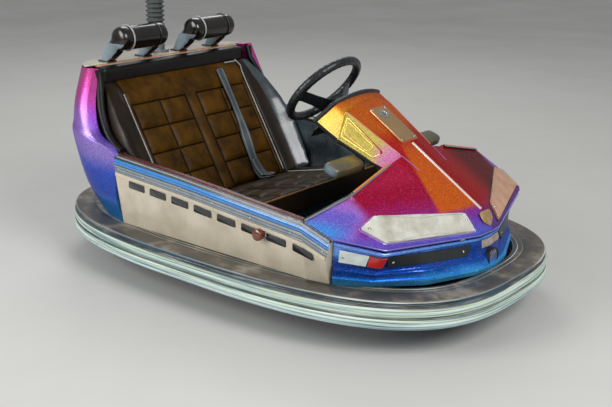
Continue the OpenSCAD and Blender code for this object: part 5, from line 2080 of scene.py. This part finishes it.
@dataclass
class RunningGear:
    """Frame, drive unit, axle and wheels under the body."""

    finishes: dict[str, Finish] = field(
        default_factory=lambda: {
            "bumper_carrier": FRAME_ENAMEL,
            "chassis_frame": FRAME_ENAMEL,
            "drive_head": FRAME_ENAMEL,
            "drive_motor": MOTOR_IRON,
            "rear_axle": TUBE_STEEL,
        }
    )

    def wheel(self, centre: Point, diameter: float, width: float, bore: float) -> Form:
        """Makes a wheel: iron disc, solid tyre with two grooves.

        Args:
            centre: Its middle.
            diameter: Of the tyre.
            width: Of the tyre.
            bore: Radius of the hole, 0 for a solid hub.

        Returns:
            The wheel, with the tyre as finish 0 and the disc as finish 1.
        """
        at = place(centre, (1, 0, 0), (0, 1, 0))
        r, w = diameter / 2, width / 2
        half = [(r - 17, -w), (r - 3, -w), (r, -w + 3), (r, -w * 0.45), (r - 2, -w * 0.38), (r, -w * 0.3)]
        form = lathe([*half, *[(a, -b) for a, b in reversed(half)]], at, 64)
        disc = [(r - 17, w), (r - 20, w - 3), (r - 25, w - 9), (r - 42, w - 10), (30, w - 6), (27, w - 1)]
        disc.append((max(bore, 14), w))
        form.join(lathe(disc, at, 64, 1))
        form.join(lathe([(a, -b) for a, b in reversed(disc)], at, 64, 1))
        if bore:
            form.join(lathe([(bore, w), (bore, -w)], at, 64, 1))
        return form

    def build(self) -> None:
        """Makes the wheels and dresses the rest."""
        for node, finish in self.finishes.items():
            dress(node, finish)
        wheels = (
            ("drive_tyre", (610, 0, 100), 200, 62, 0, Body.FRONT_WHEEL, "drive_wheel"),
            ("rear_tyre_right", (-560, -325, 80), 160, 44, 10.1, Body.REAR_RIGHT, "rear_wheel_right"),
            ("rear_tyre_left", (-560, 325, 80), 160, 44, 10.1, Body.REAR_LEFT, "rear_wheel_left"),
        )
        for name, centre, diameter, width, bore, body, node in wheels:
            form = self.wheel(centre, diameter, width, bore)
            if not bore:
                at = place(centre, (1, 0, 0), (0, 1, 0))
                form.join(lathe([(0, -53), (10, -53), (10, 53), (0, 53)], at, 32, 1))
            fit(mesh_piece(name, form, TYRE, MOTOR_IRON), "tyre_rubber", node, body=body)


@dataclass(frozen=True)
class Viewpoint:
    """Where the photograph was taken from, as solved from its matching points."""

    place_m: Point = (2.412, -2.923, 1.456)
    yaw: float = 128.92
    pitch: float = 17.44
    roll: float = 0.53
    focal_px: float = 988.0
    width_px: float = 612.0

    def build(self) -> None:
        """Makes the camera."""
        yaw, pitch, roll = (math.radians(a) for a in (self.yaw, self.pitch, self.roll))
        look = Vector((math.cos(pitch) * math.cos(yaw), math.cos(pitch) * math.sin(yaw), -math.sin(pitch)))
        right = look.cross(Vector((0, 0, 1))).normalized()
        up = right.cross(look)
        right, up = right * math.cos(roll) + up * math.sin(roll), up * math.cos(roll) - right * math.sin(roll)
        data = bpy.data.cameras.new("view")
        data.sensor_width = 36.0
        data.sensor_fit = "HORIZONTAL"
        data.lens = self.focal_px / self.width_px * 36.0
        data.clip_start = 0.05
        data.clip_end = 60.0
        camera = bpy.data.objects.new("view", data)
        camera.matrix_world = Matrix((right, up, -look)).transposed().to_4x4()
        camera.location = Vector(self.place_m)
        bpy.context.scene.collection.objects.link(camera)
        bpy.context.scene.camera = camera


@dataclass
class Studio:
    """A pale floor, a pale surround and soft lamps."""

    lamps: tuple[tuple[Point, Point, float, float], ...] = (
        ((-1.6, -4.4, 2.4), (-0.1, 0.0, 0.5), 2.8, 165.0),
        ((4.4, -1.0, 3.8), (0.3, 0.0, 0.4), 2.4, 190.0),
        ((-3.0, 3.0, 4.2), (-0.5, 0.0, 0.5), 2.4, 65.0),
    )

    def build(self) -> None:
        """Makes the floor, the world and the lamps."""
        mesh = bpy.data.meshes.new("studio_floor")
        mesh.from_pydata([(-30, -30, 0), (30, -30, 0), (30, 30, 0), (-30, 30, 0)], [], [(0, 1, 2, 3)])
        mesh.materials.append(STUDIO_FLOOR.material())
        floor = bpy.data.objects.new("studio_floor", mesh)
        bpy.context.scene.collection.objects.link(floor)
        world = bpy.data.worlds.new("studio")
        world.use_nodes = True
        tree = world.node_tree
        tree.nodes.clear()
        soft = add(tree, "Background", inputs={"Color": linear("eceef0"), "Strength": 0.42}).outputs[0]
        add(tree, "OutputWorld", inputs={"Surface": soft})
        bpy.context.scene.world = world
        for i, (spot, target, size, power) in enumerate(self.lamps):
            data = bpy.data.lights.new(f"softbox_{i}", "AREA")
            data.shape = "SQUARE"
            data.size = size
            data.energy = power
            lamp = bpy.data.objects.new(f"softbox_{i}", data)
            lamp.location = Vector(spot)
            lamp.rotation_euler = (Vector(target) - Vector(spot)).to_track_quat("-Z", "Y").to_euler()
            bpy.context.scene.collection.objects.link(lamp)
        bpy.context.scene.view_settings.view_transform = "Standard"


def main() -> None:
    """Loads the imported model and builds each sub-assembly."""
    logging.basicConfig(level=logging.INFO, format="%(message)s")
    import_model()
    Studio().build()
    Viewpoint().build()
    parts = (Bumper, Nose, Sills, Tail, Cockpit, Bench, SteeringGear, CeilingPole, RunningGear)
    for part in parts:
        LOG.info("building %s", part.__name__)
        part().build()


if __name__ == "__main__":
    main()
